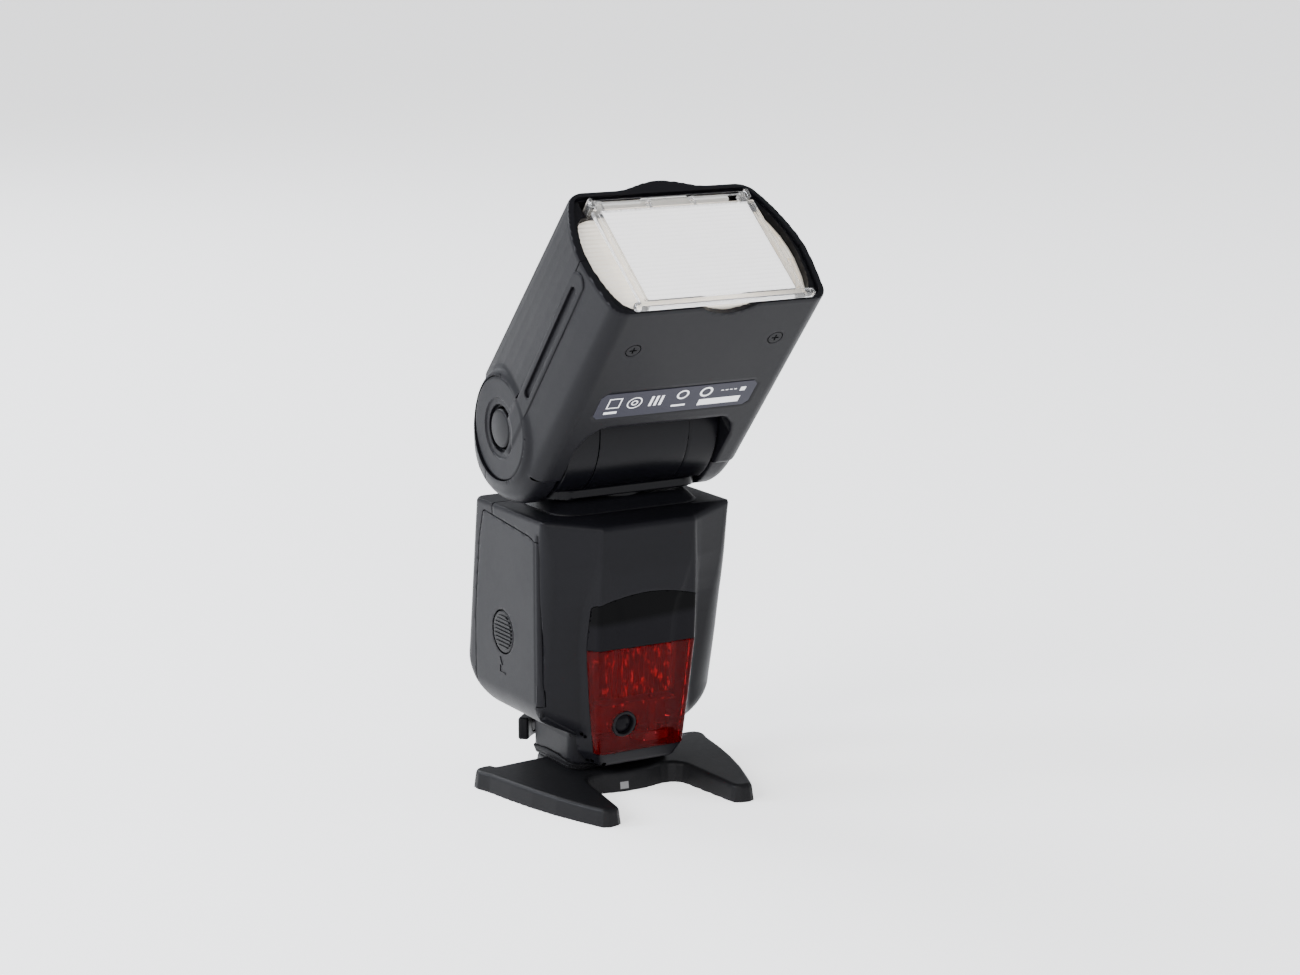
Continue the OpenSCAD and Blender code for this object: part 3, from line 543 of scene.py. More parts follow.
def head_shell(x, v, w):
    u = -v
    form = head_form(x, v, w)
    f = cut(form, -neck_gap(x, v, w), 0.9)
    f = high(f, -head_hollow(x, v, w))
    far = np.hypot(u, w)
    # seat of the release button on the left, and the axles' bore
    f = high(f, -high(high(far - 6.6, 34.2 - np.abs(x)), x))
    f = high(f, 4.0 - far)
    # seat of the side covers
    seat = high(low(far - DISC - 0.05, arm_strip(u, w) - 0.05), 36.4 - np.abs(x))
    f = high(f, -seat)
    # label plate, screws, finger scoop
    f = cut(f, -high(high(plan(x, u, LABEL), w + 20), -(form + 0.35)), 0.1)
    screw = np.hypot(np.abs(x) - SCREW_X, u - SCREW_U)
    f = cut(f, -high(screw - 2.5, w + 23.2), 0.2)
    f = low(f, high(high(screw - 3.2, w + 14), -w - 23.2))
    f = high(f, -high(screw - 1.1, w + 12))
    scoop = np.hypot(x - 2.4, u - 87.8) - 15.6
    return cut(f, -high(scoop, w + 21.6), 0.5)


def lower_shell(x, v, w):
    return cut(head_shell(x, v, w), w + 3.22, 0.3)


def upper_shell(x, v, w):
    return cut(head_shell(x, v, w), -2.98 - w, 0.3)


def bezel_frame(x, v, w):
    u = -v
    f = cut(head_section(x, v, w, 0.0) + 2.05, slab(u, 67.5, 74.6), 0.4)
    f = cut(f, -plan(x, w, WINDOW), 0.4)
    return cut(f, -rounded_rect(x, w - 17.6, 28.4, 2.9, 0.6), 0.3)


def ribbed_lens(x, v, w):
    """A plate whose rim steps down in contours on the right and whose face has fine level ribs."""
    u = -v
    edge = plan(x, w, WINDOW) + 0.15
    inside = -edge
    rim = 72.0 + 0.6 * (inside % 1.25) / 1.25 + 0.12 * np.clip(inside, 0, 7)
    ribs = 72.8 + 0.22 * np.abs((w + 40) % 1.6 / 0.8 - 1)
    face = np.where((x > 16) & (inside > 0) & (inside < 7), rim, ribs)
    return high(edge, high((u - face) * 0.8, 70.5 - u))


def rating_plate(x, v, w):
    f = head_form(x, v, w)
    f = high(f + 0.05, -(f + 0.33))
    return cut(high(f, plan(x, -v, LABEL) + 0.12), w + 20, 0.05)


def side_cover(x, v, w, side):
    u, out = -v, x * side
    far = np.hypot(u, w)
    disc = cut(far - DISC, out - 38.0, 0.9)
    disc = high(disc, -(cut(far - 9.3, 37.55 - out, 0.5)))
    skin = half_width(w) + 0.35
    rail = cut(arm_strip(u, w), out - skin, 0.5)
    groove = capsule(u, w, (22, -5.6), (66, -5.9), 1.35)
    rail = cut(rail, -high(groove, skin - 0.9 - out), 0.3)
    f = join(disc, rail, 1.2)
    f = high(f, 36.45 - out)
    if side < 0:
        return cut(f, 7.3 - far, 0.3)
    return low(f, cut(far - 6.4, slab(out, 36.5, 38.0), 0.8))


def release_button(x, v, w):
    far = np.hypot(v, w)
    dome = -38.1 + far ** 2 * 0.012
    f = cut(far - 6, high(dome - x, x + 36.5), 0.7)
    return low(f, high(far - 1.95, slab(x, -37, -12.5)))


def from_fold(u, w):
    """Distance to the pins that the wide panel folds on."""
    return np.hypot(u - 76.8, w - 17.3)


def wide_screen(x, v, w):
    return cut(rounded_rect(x, w + 4.0, 24.7, 17.7, 0.8), slab(-v, 76.0, 77.4), 0.25)


def wide_frame(x, v, w):
    """Clear border with two fine ridges, the hinge bar along its top and the lip along its bottom."""
    u = -v
    straps = rounded_rect(np.abs(x) - 24.3, w - 14, 1.3, 3.3, 0.3)
    straps = low(straps, rounded_rect(np.abs(x) - 7.5, w - 15.3, 0.5, 2, 0.2))
    sheet = low(straps, rounded_rect(x, w + 4.4, 27.4, 18.7, 0.8))
    f = cut(sheet, slab(u, 75.95, 77.6), 0.3)
    f = high(f, -rounded_rect(x, w + 4.0, 24.75, 17.75, 0.8))
    ridge = high(np.abs(rounded_rect(x, w + 4.6, 25.9, 17.6, 1.2)) - 0.25, slab(u, 76.2, 77.95))
    f = low(f, ridge)
    lip = rounded_box(x, u, w, (-30, 75.95, -24.6), (30, 78.4, -22.3), 0.8)
    hinge = high(from_fold(u, w) - 0.95, np.abs(x) - 25.4)
    f = join(low(f, lip), hinge, 0.3)
    return high(f, 0.85 - from_fold(u, w))


def clear_carriage(x, v, w):
    """The sliding tray that holds the screen's hinge."""
    u = -v
    tray = cut(rounded_rect(x, u - 50.7, 27.4, 21.7, 1.5), slab(w, 15.05, 16.2), 0.2)
    tray = cut(tray, -rounded_rect(x, u - 48, 21, 15, 2), 0.3)
    arms = rounded_box(np.abs(x), u, w, (25.75, 70, 15.1), (27.1, 78.2, 18.5), 0.5)
    pins = high(from_fold(u, w) - 0.8, slab(np.abs(x), 24.6, 26.7))
    return low(low(tray, arms), pins)


def catch_card(x, v, w):
    u = -v
    sheet = slab(w, 18.95, 19.85)
    f = cut(rounded_rect(x, u - 53, 23, 21, 1.2), sheet, 0.25)
    return low(f, cut(rounded_rect(x, u - 73.2, 8, 2.0, 0.8), sheet, 0.25))


def screw_head(x, y, z):
    """A cross-slot screw, its head's top at z = 0."""
    f = cut(np.hypot(x, y) - 2.15, slab(z, -0.9, -0.02 * (x * x + y * y)), 0.2)
    cross = low(rounded_rect(x, y, 1.35, 0.3, 0.1), rounded_rect(x, y, 0.3, 1.35, 0.1))
    return cut(f, -high(cross, -0.62 - z), 0.08)


def sensor_bezel(x, y, z):
    far, front = from_sensor(x, z), -y - panel_depth(z)
    f = cut(far - 4.15, slab(front, -1.6, 0.35), 0.3)
    return cut(f, -(far - 3.05 - 0.35 * np.clip(front + 0.4, 0, 1)), 0.2)


def sensor_glass(x, y, z):
    far, front = from_sensor(x, z), -y - panel_depth(z)
    return cut(far - 3.0, high(front + 0.5 + far ** 2 * 0.09 - 0.35, -front - 1.9), 0.1)


def lamp_block(x, y, z):
    """What shows through the red window: a plate with a ribbed prism, a tube, a ring and a shelf."""
    depth = -y - panel_depth(z)
    f = high(rounded_rect(x, z - 31.5, 13.6, 16.0, 1), slab(depth, -11.5, -9.5))
    ribs = -5.2 + 0.9 * np.abs((x + 40) % 1.9 / 0.95 - 1)
    f = low(f, high(rounded_rect(x - 1, z - 38.6, 12.2, 7.6, 0.6), slab(depth, -10, ribs)))
    tube = high(np.hypot(x - 6.0, y + 15.2) - 1.3, slab(z, 17.5, 30))
    ring = np.abs(((x - 5.6) / 5.4) ** 2 + ((y + 14.5) / 4.2) ** 2 - 1) - 0.35
    f = low(f, low(tube, high(ring, slab(z, 16.6, 19.4)) * 1.8))
    return low(f, high(rounded_rect(x, y + 14, 13, 4.5, 1), slab(z, 28.7, 29.5)))


def push_key(x, y, z):
    f = cut(rounded_rect(x, y, 3.65, 1.75, 1.7), slab(z, -3, 0.8 - 0.03 * x * x), 0.35)
    return low(f, cut(rounded_rect(x, y, 4.3, 2.5, 2.2), slab(z, -3, -2.4), 0.1))


def dial_ring(x, y, z):
    far = np.hypot(x, y)
    f = cut(cut(far - 7.6, slab(z, -0.6, 2.2), 0.5), 3.6 - far, 0.3)
    return cut(f, -high(np.abs(far - 5.4) - 0.7, 1.9 - z), 0.2)


def set_key(x, y, z):
    far = np.hypot(x, y)
    f = cut(far - 3.35, slab(z, 0.5, 2.75 - 0.025 * far ** 2), 0.4)
    return low(f, high(far - 2.0, slab(z, -2.4, 0.8)))


def pilot_key(x, y, z):
    far = np.hypot(x, y)
    return cut(far - 2.95, slab(z, -3, 0.95 - 0.03 * far ** 2), 0.35)


def switch_knob(x, y, z):
    f = cut(rounded_rect(x, y, 2.35, 1.45, 0.5), slab(z, -3, 1.15), 0.3)
    comb = np.abs((x + 0.35) % 0.7 - 0.35) - 0.14
    return cut(f, -high(high(comb, np.abs(x) - 1.8), 0.8 - z), 0.05)


def terminal_lid(x, y, z):
    f = cut(rounded_rect(y - 1, z - 56.4, 6.95, 11.5, 1.2), slab(x, 31.45, 32.92), 0.35)
    f = low(f, high(np.hypot(x - 32.2, z - 44.8) - 0.75, slab(y, -6, 8)))
    grip = rounded_box(x, y, z, (32, -3, 65), (33.65, 5, 66.6), 0.4)
    groove = high(rounded_rect(y - 1, z - 56.2, 4.8, 7.2, 1), 32.72 - x)
    f = cut(f, -high(groove, -(rounded_rect(y - 1, z - 56.2, 4.3, 6.7, 0.8))), 0.05)
    return join(f, grip, 0.3)


# ---------- pieces grown with nodes ----------

def grown(name, wire, **given):
    """Runs a geometry tree built by wire(add, link, inputs) and returns its result as one mesh."""
    tree = bpy.data.node_groups.new(name, "GeometryNodeTree")
    tree.interface.new_socket("Geometry", in_out="OUTPUT", socket_type="NodeSocketGeometry")
    kinds = {int: "NodeSocketInt", float: "NodeSocketFloat", bpy.types.Object: "NodeSocketObject",
             bpy.types.Material: "NodeSocketMaterial"}
    sockets = {}
    for key, value in given.items():
        sockets[key] = tree.interface.new_socket(key, in_out="INPUT", socket_type=kinds[type(value)])
    entry, leave = tree.nodes.new("NodeGroupInput"), tree.nodes.new("NodeGroupOutput")
    ports = {key: entry.outputs[i] for i, key in enumerate(given)}

    def add(kind, settings=None, **inputs):
        node = tree.nodes.new(kind)
        for key, value in (settings or {}).items():
            setattr(node, key, value)
        for key, value in inputs.items():
            slot = node.inputs[key.replace("_", " ")]
            if isinstance(value, bpy.types.NodeSocket):
                tree.links.new(value, slot)
            else:
                slot.default_value = value
        return node

    def between(a, b):
        tree.links.new(a, b)

    last = wire(add, between, ports)
    real = add("GeometryNodeRealizeInstances", Geometry=last)
    done = add("GeometryNodeSetMaterial", Geometry=real.outputs[0], Material=ports["Finish"])
    between(done.outputs[0], leave.inputs[0])
    host = link(bpy.data.objects.new(name + "_host", bpy.data.meshes.new(name + "_host")))
    step = host.modifiers.new("grow", "NODES")
    step.node_group = tree
    for key, value in given.items():
        step[sockets[key].identifier] = value
    bpy.context.view_layer.update()
    mesh = bpy.data.meshes.new_from_object(host.evaluated_get(bpy.context.evaluated_depsgraph_get()))
    host.modifiers.remove(step)
    bpy.data.objects.remove(host)
    mesh.name = name
    return link(bpy.data.objects.new(name, mesh))


def carry(piece, place):
    """Moves a mesh from millimetres in its own frame to the row frame."""
    piece.data.transform(place)
    return piece


def dot_field(name, across, up, columns, rows, size, finish):
    """Low domes in staggered rows."""
    def wire(add, between, ports):
        fields = []
        for shift in (0.25, -0.25):
            grid = add("GeometryNodeMeshGrid", Size_X=ports["Across"], Size_Y=ports["Up"],
                       Vertices_X=ports["Columns"], Vertices_Y=ports["Rows"])
            offset = (shift * across / (columns - 1), shift * up / (rows - 1) * 2, 0)
            moved = add("GeometryNodeSetPosition", Geometry=grid.outputs[0], Offset=offset)
            fields.append(moved.outputs[0])
        both = add("GeometryNodeJoinGeometry")
        for field in fields:
            between(field, both.inputs[0])
        dome = add("GeometryNodeMeshIcoSphere", Radius=ports["Size"], Subdivisions=2)
        out = add("GeometryNodeInstanceOnPoints", Points=both.outputs[0], Instance=dome.outputs[0], Scale=(1, 1, 0.7))
        return out.outputs[0]

    return grown(name, wire, Across=float(across), Up=float(up), Columns=columns, Rows=rows, Size=float(size),
                 Finish=finish)


def ridge_ring(name, radius, count, size, height, finish):
    """Upright ridges round a dial."""
    def wire(add, between, ports):
        ring = add("GeometryNodeMeshCircle", Vertices=ports["Count"], Radius=ports["Radius"])
        ridge = add("GeometryNodeMeshCylinder", Vertices=10, Radius=ports["Size"], Depth=ports["Height"])
        out = add("GeometryNodeInstanceOnPoints", Points=ring.outputs[0], Instance=ridge.outputs[0])
        return out.outputs[0]

    return grown(name, wire, Radius=float(radius), Count=count, Size=float(size), Height=float(height), Finish=finish)


def copies(name, part, spots, finish):
    """The same part at each spot."""
    marks = bpy.data.meshes.new(name + "_spots")
    marks.from_pydata(spots, [], [])
    points = link(bpy.data.objects.new(name + "_spots", marks))

    def wire(add, between, ports):
        where = add("GeometryNodeObjectInfo", {"transform_space": "ORIGINAL"}, Object=ports["Spots"])
        what = add("GeometryNodeObjectInfo", {"transform_space": "ORIGINAL"}, Object=ports["Part"])
        out = add("GeometryNodeInstanceOnPoints", Points=where.outputs["Geometry"], Instance=what.outputs["Geometry"])
        return out.outputs[0]

    piece = grown(name, wire, Spots=points, Part=part, Finish=finish)
    bpy.data.objects.remove(points)
    return piece


# ---------- finishes ----------

class Val:
    """A number that varies over a surface, with arithmetic on it."""

    def __init__(self, tree, socket):
        self.tree, self.socket = tree, socket

    def _maths(self, kind, *values):
        node = self.tree.nodes.new("ShaderNodeMath")
        node.operation = kind
        for slot, value in zip(node.inputs, values):
            if isinstance(value, Val):
                self.tree.links.new(value.socket, slot)
            else:
                slot.default_value = value
        return Val(self.tree, node.outputs[0])

    def __add__(self, other):
        return self._maths("ADD", self, other)

    def __radd__(self, other):
        return self._maths("ADD", other, self)

    def __sub__(self, other):
        return self._maths("SUBTRACT", self, other)

    def __rsub__(self, other):
        return self._maths("SUBTRACT", other, self)

    def __mul__(self, other):
        return self._maths("MULTIPLY", self, other)

    def __rmul__(self, other):
        return self._maths("MULTIPLY", other, self)

    def __lt__(self, other):
        return self._maths("LESS_THAN", self, other)

    def size(self):
        return self._maths("ABSOLUTE", self)

    def power(self, other):
        return self._maths("POWER", self, other)

    def either(self, other):
        return self._maths("MAXIMUM", self, other)


def oblong(x, y, cx, cy, half_x, half_y):
    """1 inside a plain rectangle."""
    return ((x - cx).size() < half_x) * ((y - cy).size() < half_y)


def hoop(x, y, cx, cy, radius, width):
    """1 on a ring."""
    return (((x - cx).power(2.0) + (y - cy).power(2.0)).power(0.5) - radius).size() < width


class Finish:
    """One material: a Principled surface whose constants are set by name."""

    def __init__(self, name, **constants):
        self.material = bpy.data.materials.new(name)
        self.material.use_nodes = True
        self.tree = self.material.node_tree
        self.surface = self.tree.nodes["Principled BSDF"]
        for key, value in constants.items():
            self.surface.inputs[key.replace("_", " ")].default_value = value

    def node(self, kind, settings=None, out=0, **inputs):
        """A node whose inputs are set by name, or by number as i0, i1 and so on."""
        node = self.tree.nodes.new(kind)
        for key, value in (settings or {}).items():
            setattr(node, key, value)
        for key, value in inputs.items():
            numbered = key[0] == "i" and key[1:].isdigit()
            slot = node.inputs[int(key[1:]) if numbered else key.replace("_", " ")]
            if isinstance(value, Val):
                self.tree.links.new(value.socket, slot)
            else:
                slot.default_value = value
        return Val(self.tree, node.outputs[out])

    def place(self, scale, **turned):
        """Object coordinates times a scale for each axis."""
        return self.node("ShaderNodeMapping", Vector=self.node("ShaderNodeTexCoord", out=3), Scale=scale, **turned)

    def noise(self, size, detail=3.0, roughness=0.55):
        """Noise whose lumps are about size millimetres across."""
        spot = self.place((1000 * (1 / size),) * 3)
        return self.node("ShaderNodeTexNoise", Vector=spot, Scale=1.0, Detail=detail, Roughness=roughness)

    def axes(self, turn=0.0, shift=(0, 0, 0)):
        """x, y and z in millimetres after a turn about x."""
        spot = self.place((1000, 1000, 1000), Rotation=(turn, 0, 0), Location=shift)
        split = self.tree.nodes.new("ShaderNodeSeparateXYZ")
        self.tree.links.new(spot.socket, split.inputs[0])
        return [Val(self.tree, out) for out in split.outputs]

    def feed(self, name, value):
        self.tree.links.new(value.socket, self.surface.inputs[name])

    def ease(self, value, start, end):
        """0 to 1 in a smooth step from start to end."""
        kind = {"interpolation_type": "SMOOTHSTEP"}
        return self.node("ShaderNodeMapRange", kind, Value=value, From_Min=start, From_Max=end)

    def blend(self, mask, at_0, at_1):
        return self.node("ShaderNodeMix", {"data_type": "RGBA"}, out=2, i0=mask, i6=at_0, i7=at_1)

    def bump(self, height, strength, distance):
        self.feed("Normal", self.node("ShaderNodeBump", Height=height, Strength=strength, Distance=distance * MM))


def moulded(name, colour, rough, grain=0.32, depth=0.03, spread=0.12, shade=0.35, coat=0.0, shine=0.11,
            marks=None, ink=(0.8, 0.8, 0.82, 1)):
    """Spark-eroded moulded plastic: a fine grain, faint handling sheen and slightly uneven colour."""
    f = Finish(name, Coat_Weight=coat, Coat_Roughness=0.2, Specular_IOR_Level=shine)
    pits = f.noise(grain, 2.0)
    clouds = f.noise(14.0, 4.0)
    fine = f.noise(1.6, 3.0)
    light = tuple(min(1.0, c * (1 + shade)) for c in colour[:3]) + (1,)
    dark = tuple(c * (1 - shade) for c in colour[:3]) + (1,)
    paint = f.blend(clouds * 0.55 + pits * 0.45, dark, light)
    if marks:
        paint = f.blend(marks(f), paint, ink)
    f.feed("Base Color", paint)
    f.feed("Roughness", rough - spread / 2 + clouds * spread + (fine - 0.5) * spread * 0.6)
    if depth:
        f.bump(pits * 0.8 + fine * 0.2, 0.6, depth)
    return f.material


def metal(name, colour, rough, stretch=(1, 1, 12)):
    f = Finish(name, Metallic=1.0)
    lines = f.place(tuple(1000 * s for s in stretch))
    brush = f.node("ShaderNodeTexNoise", Vector=lines, Scale=1.2, Detail=3.0)
    f.feed("Base Color", f.blend(brush, tuple(c * 0.85 for c in colour) + (1,), tuple(colour) + (1,)))
    f.feed("Roughness", rough - 0.08 + brush * 0.16)
    f.bump(brush, 0.3, 0.01)
    return f.material


def foot_mark(f):
    x, y, z = f.axes()
    return oblong(x, z, -3.3, 2.0, 1.4, 1.1) * (y < -12.0)


def plate_marks(f):
    """Plain generic shapes in a row: rings, bars and blocks."""
    x, v, w = f.axes(TILT, (0, math.sin(TILT) * PIVOT_Z, -math.cos(TILT) * PIVOT_Z))
    u = 0.0 - v
    ink = oblong(x, u, -21.3, 35.4, 2.2, 2.2) * (1.0 - oblong(x, u, -21.3, 35.4, 1.8, 1.8))
    hoops = [(-14.3, 34.8, 2.3, 0.2), (-14.3, 34.8, 0.9, 0.2), (1.6, 36.4, 1.7, 0.3), (9.6, 36.6, 1.8, 0.35)]
    blocks = [(-21.3, 31.2, 2.2, 0.5), (1.6, 31.6, 2.4, 0.4), (15.6, 31.9, 7.2, 1.35), (22.4, 36.4, 0.9, 0.9)]
    blocks += [(-8.6 + 1.7 * i, 34.8, 0.45, 2.2) for i in range(3)]
    blocks += [(15.2 + 1.5 * i, 36.6, 0.45, 0.18) for i in range(4)]
    for spot in hoops:
        ink = ink.either(hoop(x, u, *spot))
    for spot in blocks:
        ink = ink.either(oblong(x, u, *spot))
    return ink


def display_marks(f):
    """Bars and blocks of a resting display, seen through its window."""
    x, y, z = f.axes()
    up = z - 74.6
    ink = oblong(x, up, 0.0, -6.4, 18.0, 0.25)
    for i in range(9):
        ink = ink.either(oblong(x, up, -16.0 + 4.0 * i, -4.6, 0.35, 0.9))
    for i in range(4):
        across = -14.0 + 6.5 * i
        ink = ink.either(oblong(x, up, across, 2.2, 2.1, 3.2) * (1.0 - oblong(x, up, across, 2.2, 1.5, 2.6)))
    return ink.either(oblong(x, up, 14.5, 3.6, 3.6, 1.5))


CASE = moulded("charcoal_case", (0.0042, 0.0042, 0.0056), 0.42, depth=0.045)
STAND_CASE = moulded("charcoal_stand", (0.0060, 0.0060, 0.0068), 0.43, depth=0.05,
                     marks=foot_mark, ink=(0.16, 0.16, 0.165, 1))
SMOOTH = moulded("satin_barrel", (0.0022, 0.0022, 0.0032), 0.3, grain=0.5, depth=0.004, spread=0.08)
TRIM = moulded("black_trim", (0.0035, 0.0035, 0.0045), 0.38, grain=0.4, depth=0.012)
RUBBER = moulded("soft_rubber", (0.006, 0.006, 0.007), 0.6, grain=0.5, depth=0.02, spread=0.1)
WHITE_CARD = moulded("white_card", (0.82, 0.82, 0.80), 0.35, grain=1.2, depth=0.004, shade=0.03, shine=0.5)
PLATE = moulded("rating_plate_grey", (0.026, 0.026, 0.036), 0.42, grain=0.3, depth=0.008, shade=0.12,
                marks=plate_marks)
DISPLAY = moulded("display_green", (0.16, 0.18, 0.14), 0.4, grain=3.0, depth=0.0, shade=0.06,
                  marks=display_marks, ink=(0.03, 0.035, 0.03, 1))
CELL = moulded("cell_wrap", (0.55, 0.56, 0.55), 0.3, grain=3.0, depth=0.0, shade=0.06, coat=0.4, shine=0.5)
BOARD = moulded("circuit_board", (0.02, 0.12, 0.05), 0.35, grain=0.8, depth=0.02, shine=0.5)
AMBER = moulded("lit_button", (0.45, 0.07, 0.02), 0.3, grain=2.0, depth=0.0, coat=0.4, shine=0.5)
STEEL = metal("turned_steel", (0.62, 0.62, 0.64), 0.3)
BRASS = metal("turned_brass", (0.72, 0.55, 0.28), 0.28)
MIRROR = metal("bright_reflector", (0.92, 0.90, 0.85), 0.18, stretch=(12, 1, 1))


def gloss_black():
    f = Finish("infrared_window", IOR=1.5, Specular_IOR_Level=0.045)
    haze = f.noise(9.0, 3.0)
    x, y, z = f.axes()
    # painted shade: the window's base colour is darkest along its top, under the raised case edge above it, and
    # lighter towards the bottom
    lower = f.ease(z - x * 0.05, 58.5, 55.5) * (haze * 0.3 + 0.7)
    f.feed("Base Color", f.blend(lower, (0.0004, 0.0004, 0.0006, 1), (0.0055, 0.0053, 0.0068, 1)))
    f.feed("Roughness", haze * 0.08 + 0.05)
    return f.material


def red_glass():
    f = Finish("red_filter", IOR=1.14, Transmission_Weight=0.96, Specular_IOR_Level=0.1)
    haze = f.noise(6.0, 3.0)
    f.feed("Base Color", f.blend(haze, (0.42, 0.009, 0.014, 1), (0.64, 0.016, 0.024, 1)))
    f.feed("Roughness", haze * 0.06 + 0.03)
    return f.material


def lamp_body():
    """Dark moulding with painted highlights: bright upright glints painted into its base colour, more of them above
    the shelf.
    """
    f = Finish("lamp_module_painted_glints", Specular_IOR_Level=0.3)
    streaks = f.place((620, 620, 230))
    grain = f.node("ShaderNodeTexNoise", Vector=streaks, Scale=1.0, Detail=4.0, Roughness=0.62)
    x, y, z = f.axes()
    upper = f.ease(z, 28.0, 33.0)
    # painted highlights: bright streaks in the base colour stand in for light glinting off the prism, denser above
    # the shelf
    painted_glints = f.ease(grain + upper * 0.05, 0.59, 0.72)
    f.feed("Base Color", f.blend(painted_glints, (0.055, 0.05, 0.05, 1), (0.85, 0.8, 0.8, 1)))
    f.feed("Roughness", 0.25 + grain * 0.2)
    f.bump(grain, 0.6, 0.4)
    return f.material


def clear_acrylic():
    f = Finish("clear_acrylic", IOR=1.49, Transmission_Weight=0.95)
    haze = f.noise(5.0, 3.0)
    f.feed("Base Color", f.blend(haze, (0.9312, 0.9312, 0.9312, 1), (0.97, 0.97, 0.97, 1)))
    f.feed("Roughness", haze * 0.05 + 0.04)
    return f.material


def cream_lens():
    # painted glow: the lens emits a faint light of its own, and nothing lights it from inside
    f = Finish("ivory_lens_painted_glow", IOR=1.49, Coat_Weight=0.35, Coat_Roughness=0.08, Emission_Strength=0.35)
    haze = f.noise(11.0, 2.0)
    f.feed("Base Color", f.blend(haze, (0.80, 0.735, 0.63, 1), (0.92, 0.88, 0.80, 1)))
    f.feed("Emission Color", f.blend(haze, (0.80, 0.72, 0.60, 1), (0.95, 0.90, 0.82, 1)))
    f.feed("Roughness", haze * 0.1 + 0.12)
    return f.material


def milky_diffuser_painted_glow(name, painted_glow):
    # painted glow: the wide panel and its dots emit light of their own, and nothing lights them from inside
    f = Finish(name, IOR=1.49, Coat_Weight=0.3, Coat_Roughness=0.1, Emission_Strength=painted_glow)
    haze = f.noise(8.0, 2.0)
    f.feed("Base Color", f.blend(haze, (0.90, 0.89, 0.89, 1), (0.97, 0.96, 0.96, 1)))
    f.feed("Emission Color", f.blend(haze, (0.93, 0.91, 0.92, 1), (1.0, 0.99, 0.99, 1)))
    f.feed("Roughness", haze * 0.1 + 0.2)
    return f.material


INFRARED, RED, LAMP, CLEAR = gloss_black(), red_glass(), lamp_body(), clear_acrylic()
IVORY, MILKY, DOTS = cream_lens(), milky_diffuser_painted_glow("milky_diffuser_painted_glow", 0.9), milky_diffuser_painted_glow("diffuser_dots_painted_glow", 0.25)


def dress(piece, body, finish, *nodes):
    """Gives a piece its finish, the body it moves with and the nodes that it stands for."""
    piece.data.materials.clear()
    piece.data.materials.append(finish)
    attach(piece, body)
    if nodes:
        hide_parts(*nodes)


def make(name, shape, lo, hi, cell, body, finish, *nodes, place=ROW):
    dress(mould(name, shape, lo, hi, cell, place), body, finish, *nodes)


# ---------- camera, floor and light ----------

camera = link(bpy.data.objects.new("camera", bpy.data.cameras.new("camera")))
camera.data.lens, camera.data.sensor_width = 80.52, 36.0
camera.location = (-0.4342, -0.7628, 0.2772)
camera.rotation_euler = (math.radians(78.16), 0, math.radians(-30.47))
camera.data.clip_start, camera.data.clip_end = 0.01, 30
bpy.context.scene.camera = camera


def floor():
    side = 6.0
    mesh = bpy.data.meshes.new("floor")
    mesh.from_pydata([(-side, -side, 0), (side, -side, 0), (side, side, 0), (-side, side, 0)], [], [(0, 1, 2, 3)])
    piece = link(bpy.data.objects.new("floor", mesh))
    f = Finish("pale_floor", Roughness=0.7, Emission_Strength=1.3, Emission_Color=(1, 1, 1, 1))
    f.feed("Base Color", f.blend(f.noise(60.0, 2.0), (0.86, 0.86, 0.87, 1), (0.88, 0.88, 0.89, 1)))
    mesh.materials.append(f.material)


def lamp(name, at, aim, size, power, colour=(1, 1, 1)):
    data = bpy.data.lights.new(name, "AREA")
    data.shape, data.size, data.energy, data.color = "SQUARE", size, power, colour
    piece = link(bpy.data.objects.new(name, data))
    piece.location = at
    piece.rotation_euler = (Vector(aim) - Vector(at)).to_track_quat("-Z", "Y").to_euler()


world = bpy.data.worlds.new("studio")
bpy.context.scene.world = world
world.use_nodes = True
world.node_tree.nodes["Background"].inputs["Color"].default_value = (0.93, 0.95, 1.0, 1)
world.node_tree.nodes["Background"].inputs["Strength"].default_value = 0.62
floor()
lamp("key_left", (-1.5, -0.5, 1.0), (0, 0, 0.1), 0.8, 26, (1.0, 0.99, 0.97))
lamp("rim_left", (-1.4, 0.6, 0.8), (0, 0, 0.13), 0.5, 26, (0.86, 0.9, 1.0))
lamp("rim_back", (-0.5, 1.5, 1.2), (0, 0, 0.12), 1.2, 34, (0.93, 0.96, 1.0))
lamp("front_left", (-0.5, -1.5, 0.6), (0, 0, 0.08), 0.4, 9, (1.0, 0.99, 0.98))
lamp("fill_right", (1.6, -0.8, 0.9), (0, 0, 0.1), 0.8, 4, (0.95, 0.97, 1.0))

# ---------- the stand and the foot ----------

make("stand_casting", stand_shape, (-43, -45, 0), (43, 20, 6.6), 0.6, "stand", STAND_CASE, "stand_body")
make("foot_block", foot_block, (-18, -9, 8), (18, 21, 24), 0.55, "flash", CASE, "foot_pedestal")
make("foot_gasket", foot_gasket, (-19, -9, 6), (19, 22, 9), 0.4, "flash", RUBBER, "foot_seal")
make("lock_arm", lever_shape, (-21, 1, 9), (10, 34, 17), 0.4, "lever", TRIM, "lock_lever")
make("lock_arm_stud", lever_stud, (-19, 22, 10), (-10, 32, 16), 0.25, "lever_catch", TRIM, "lever_button")

# ---------- the body ----------

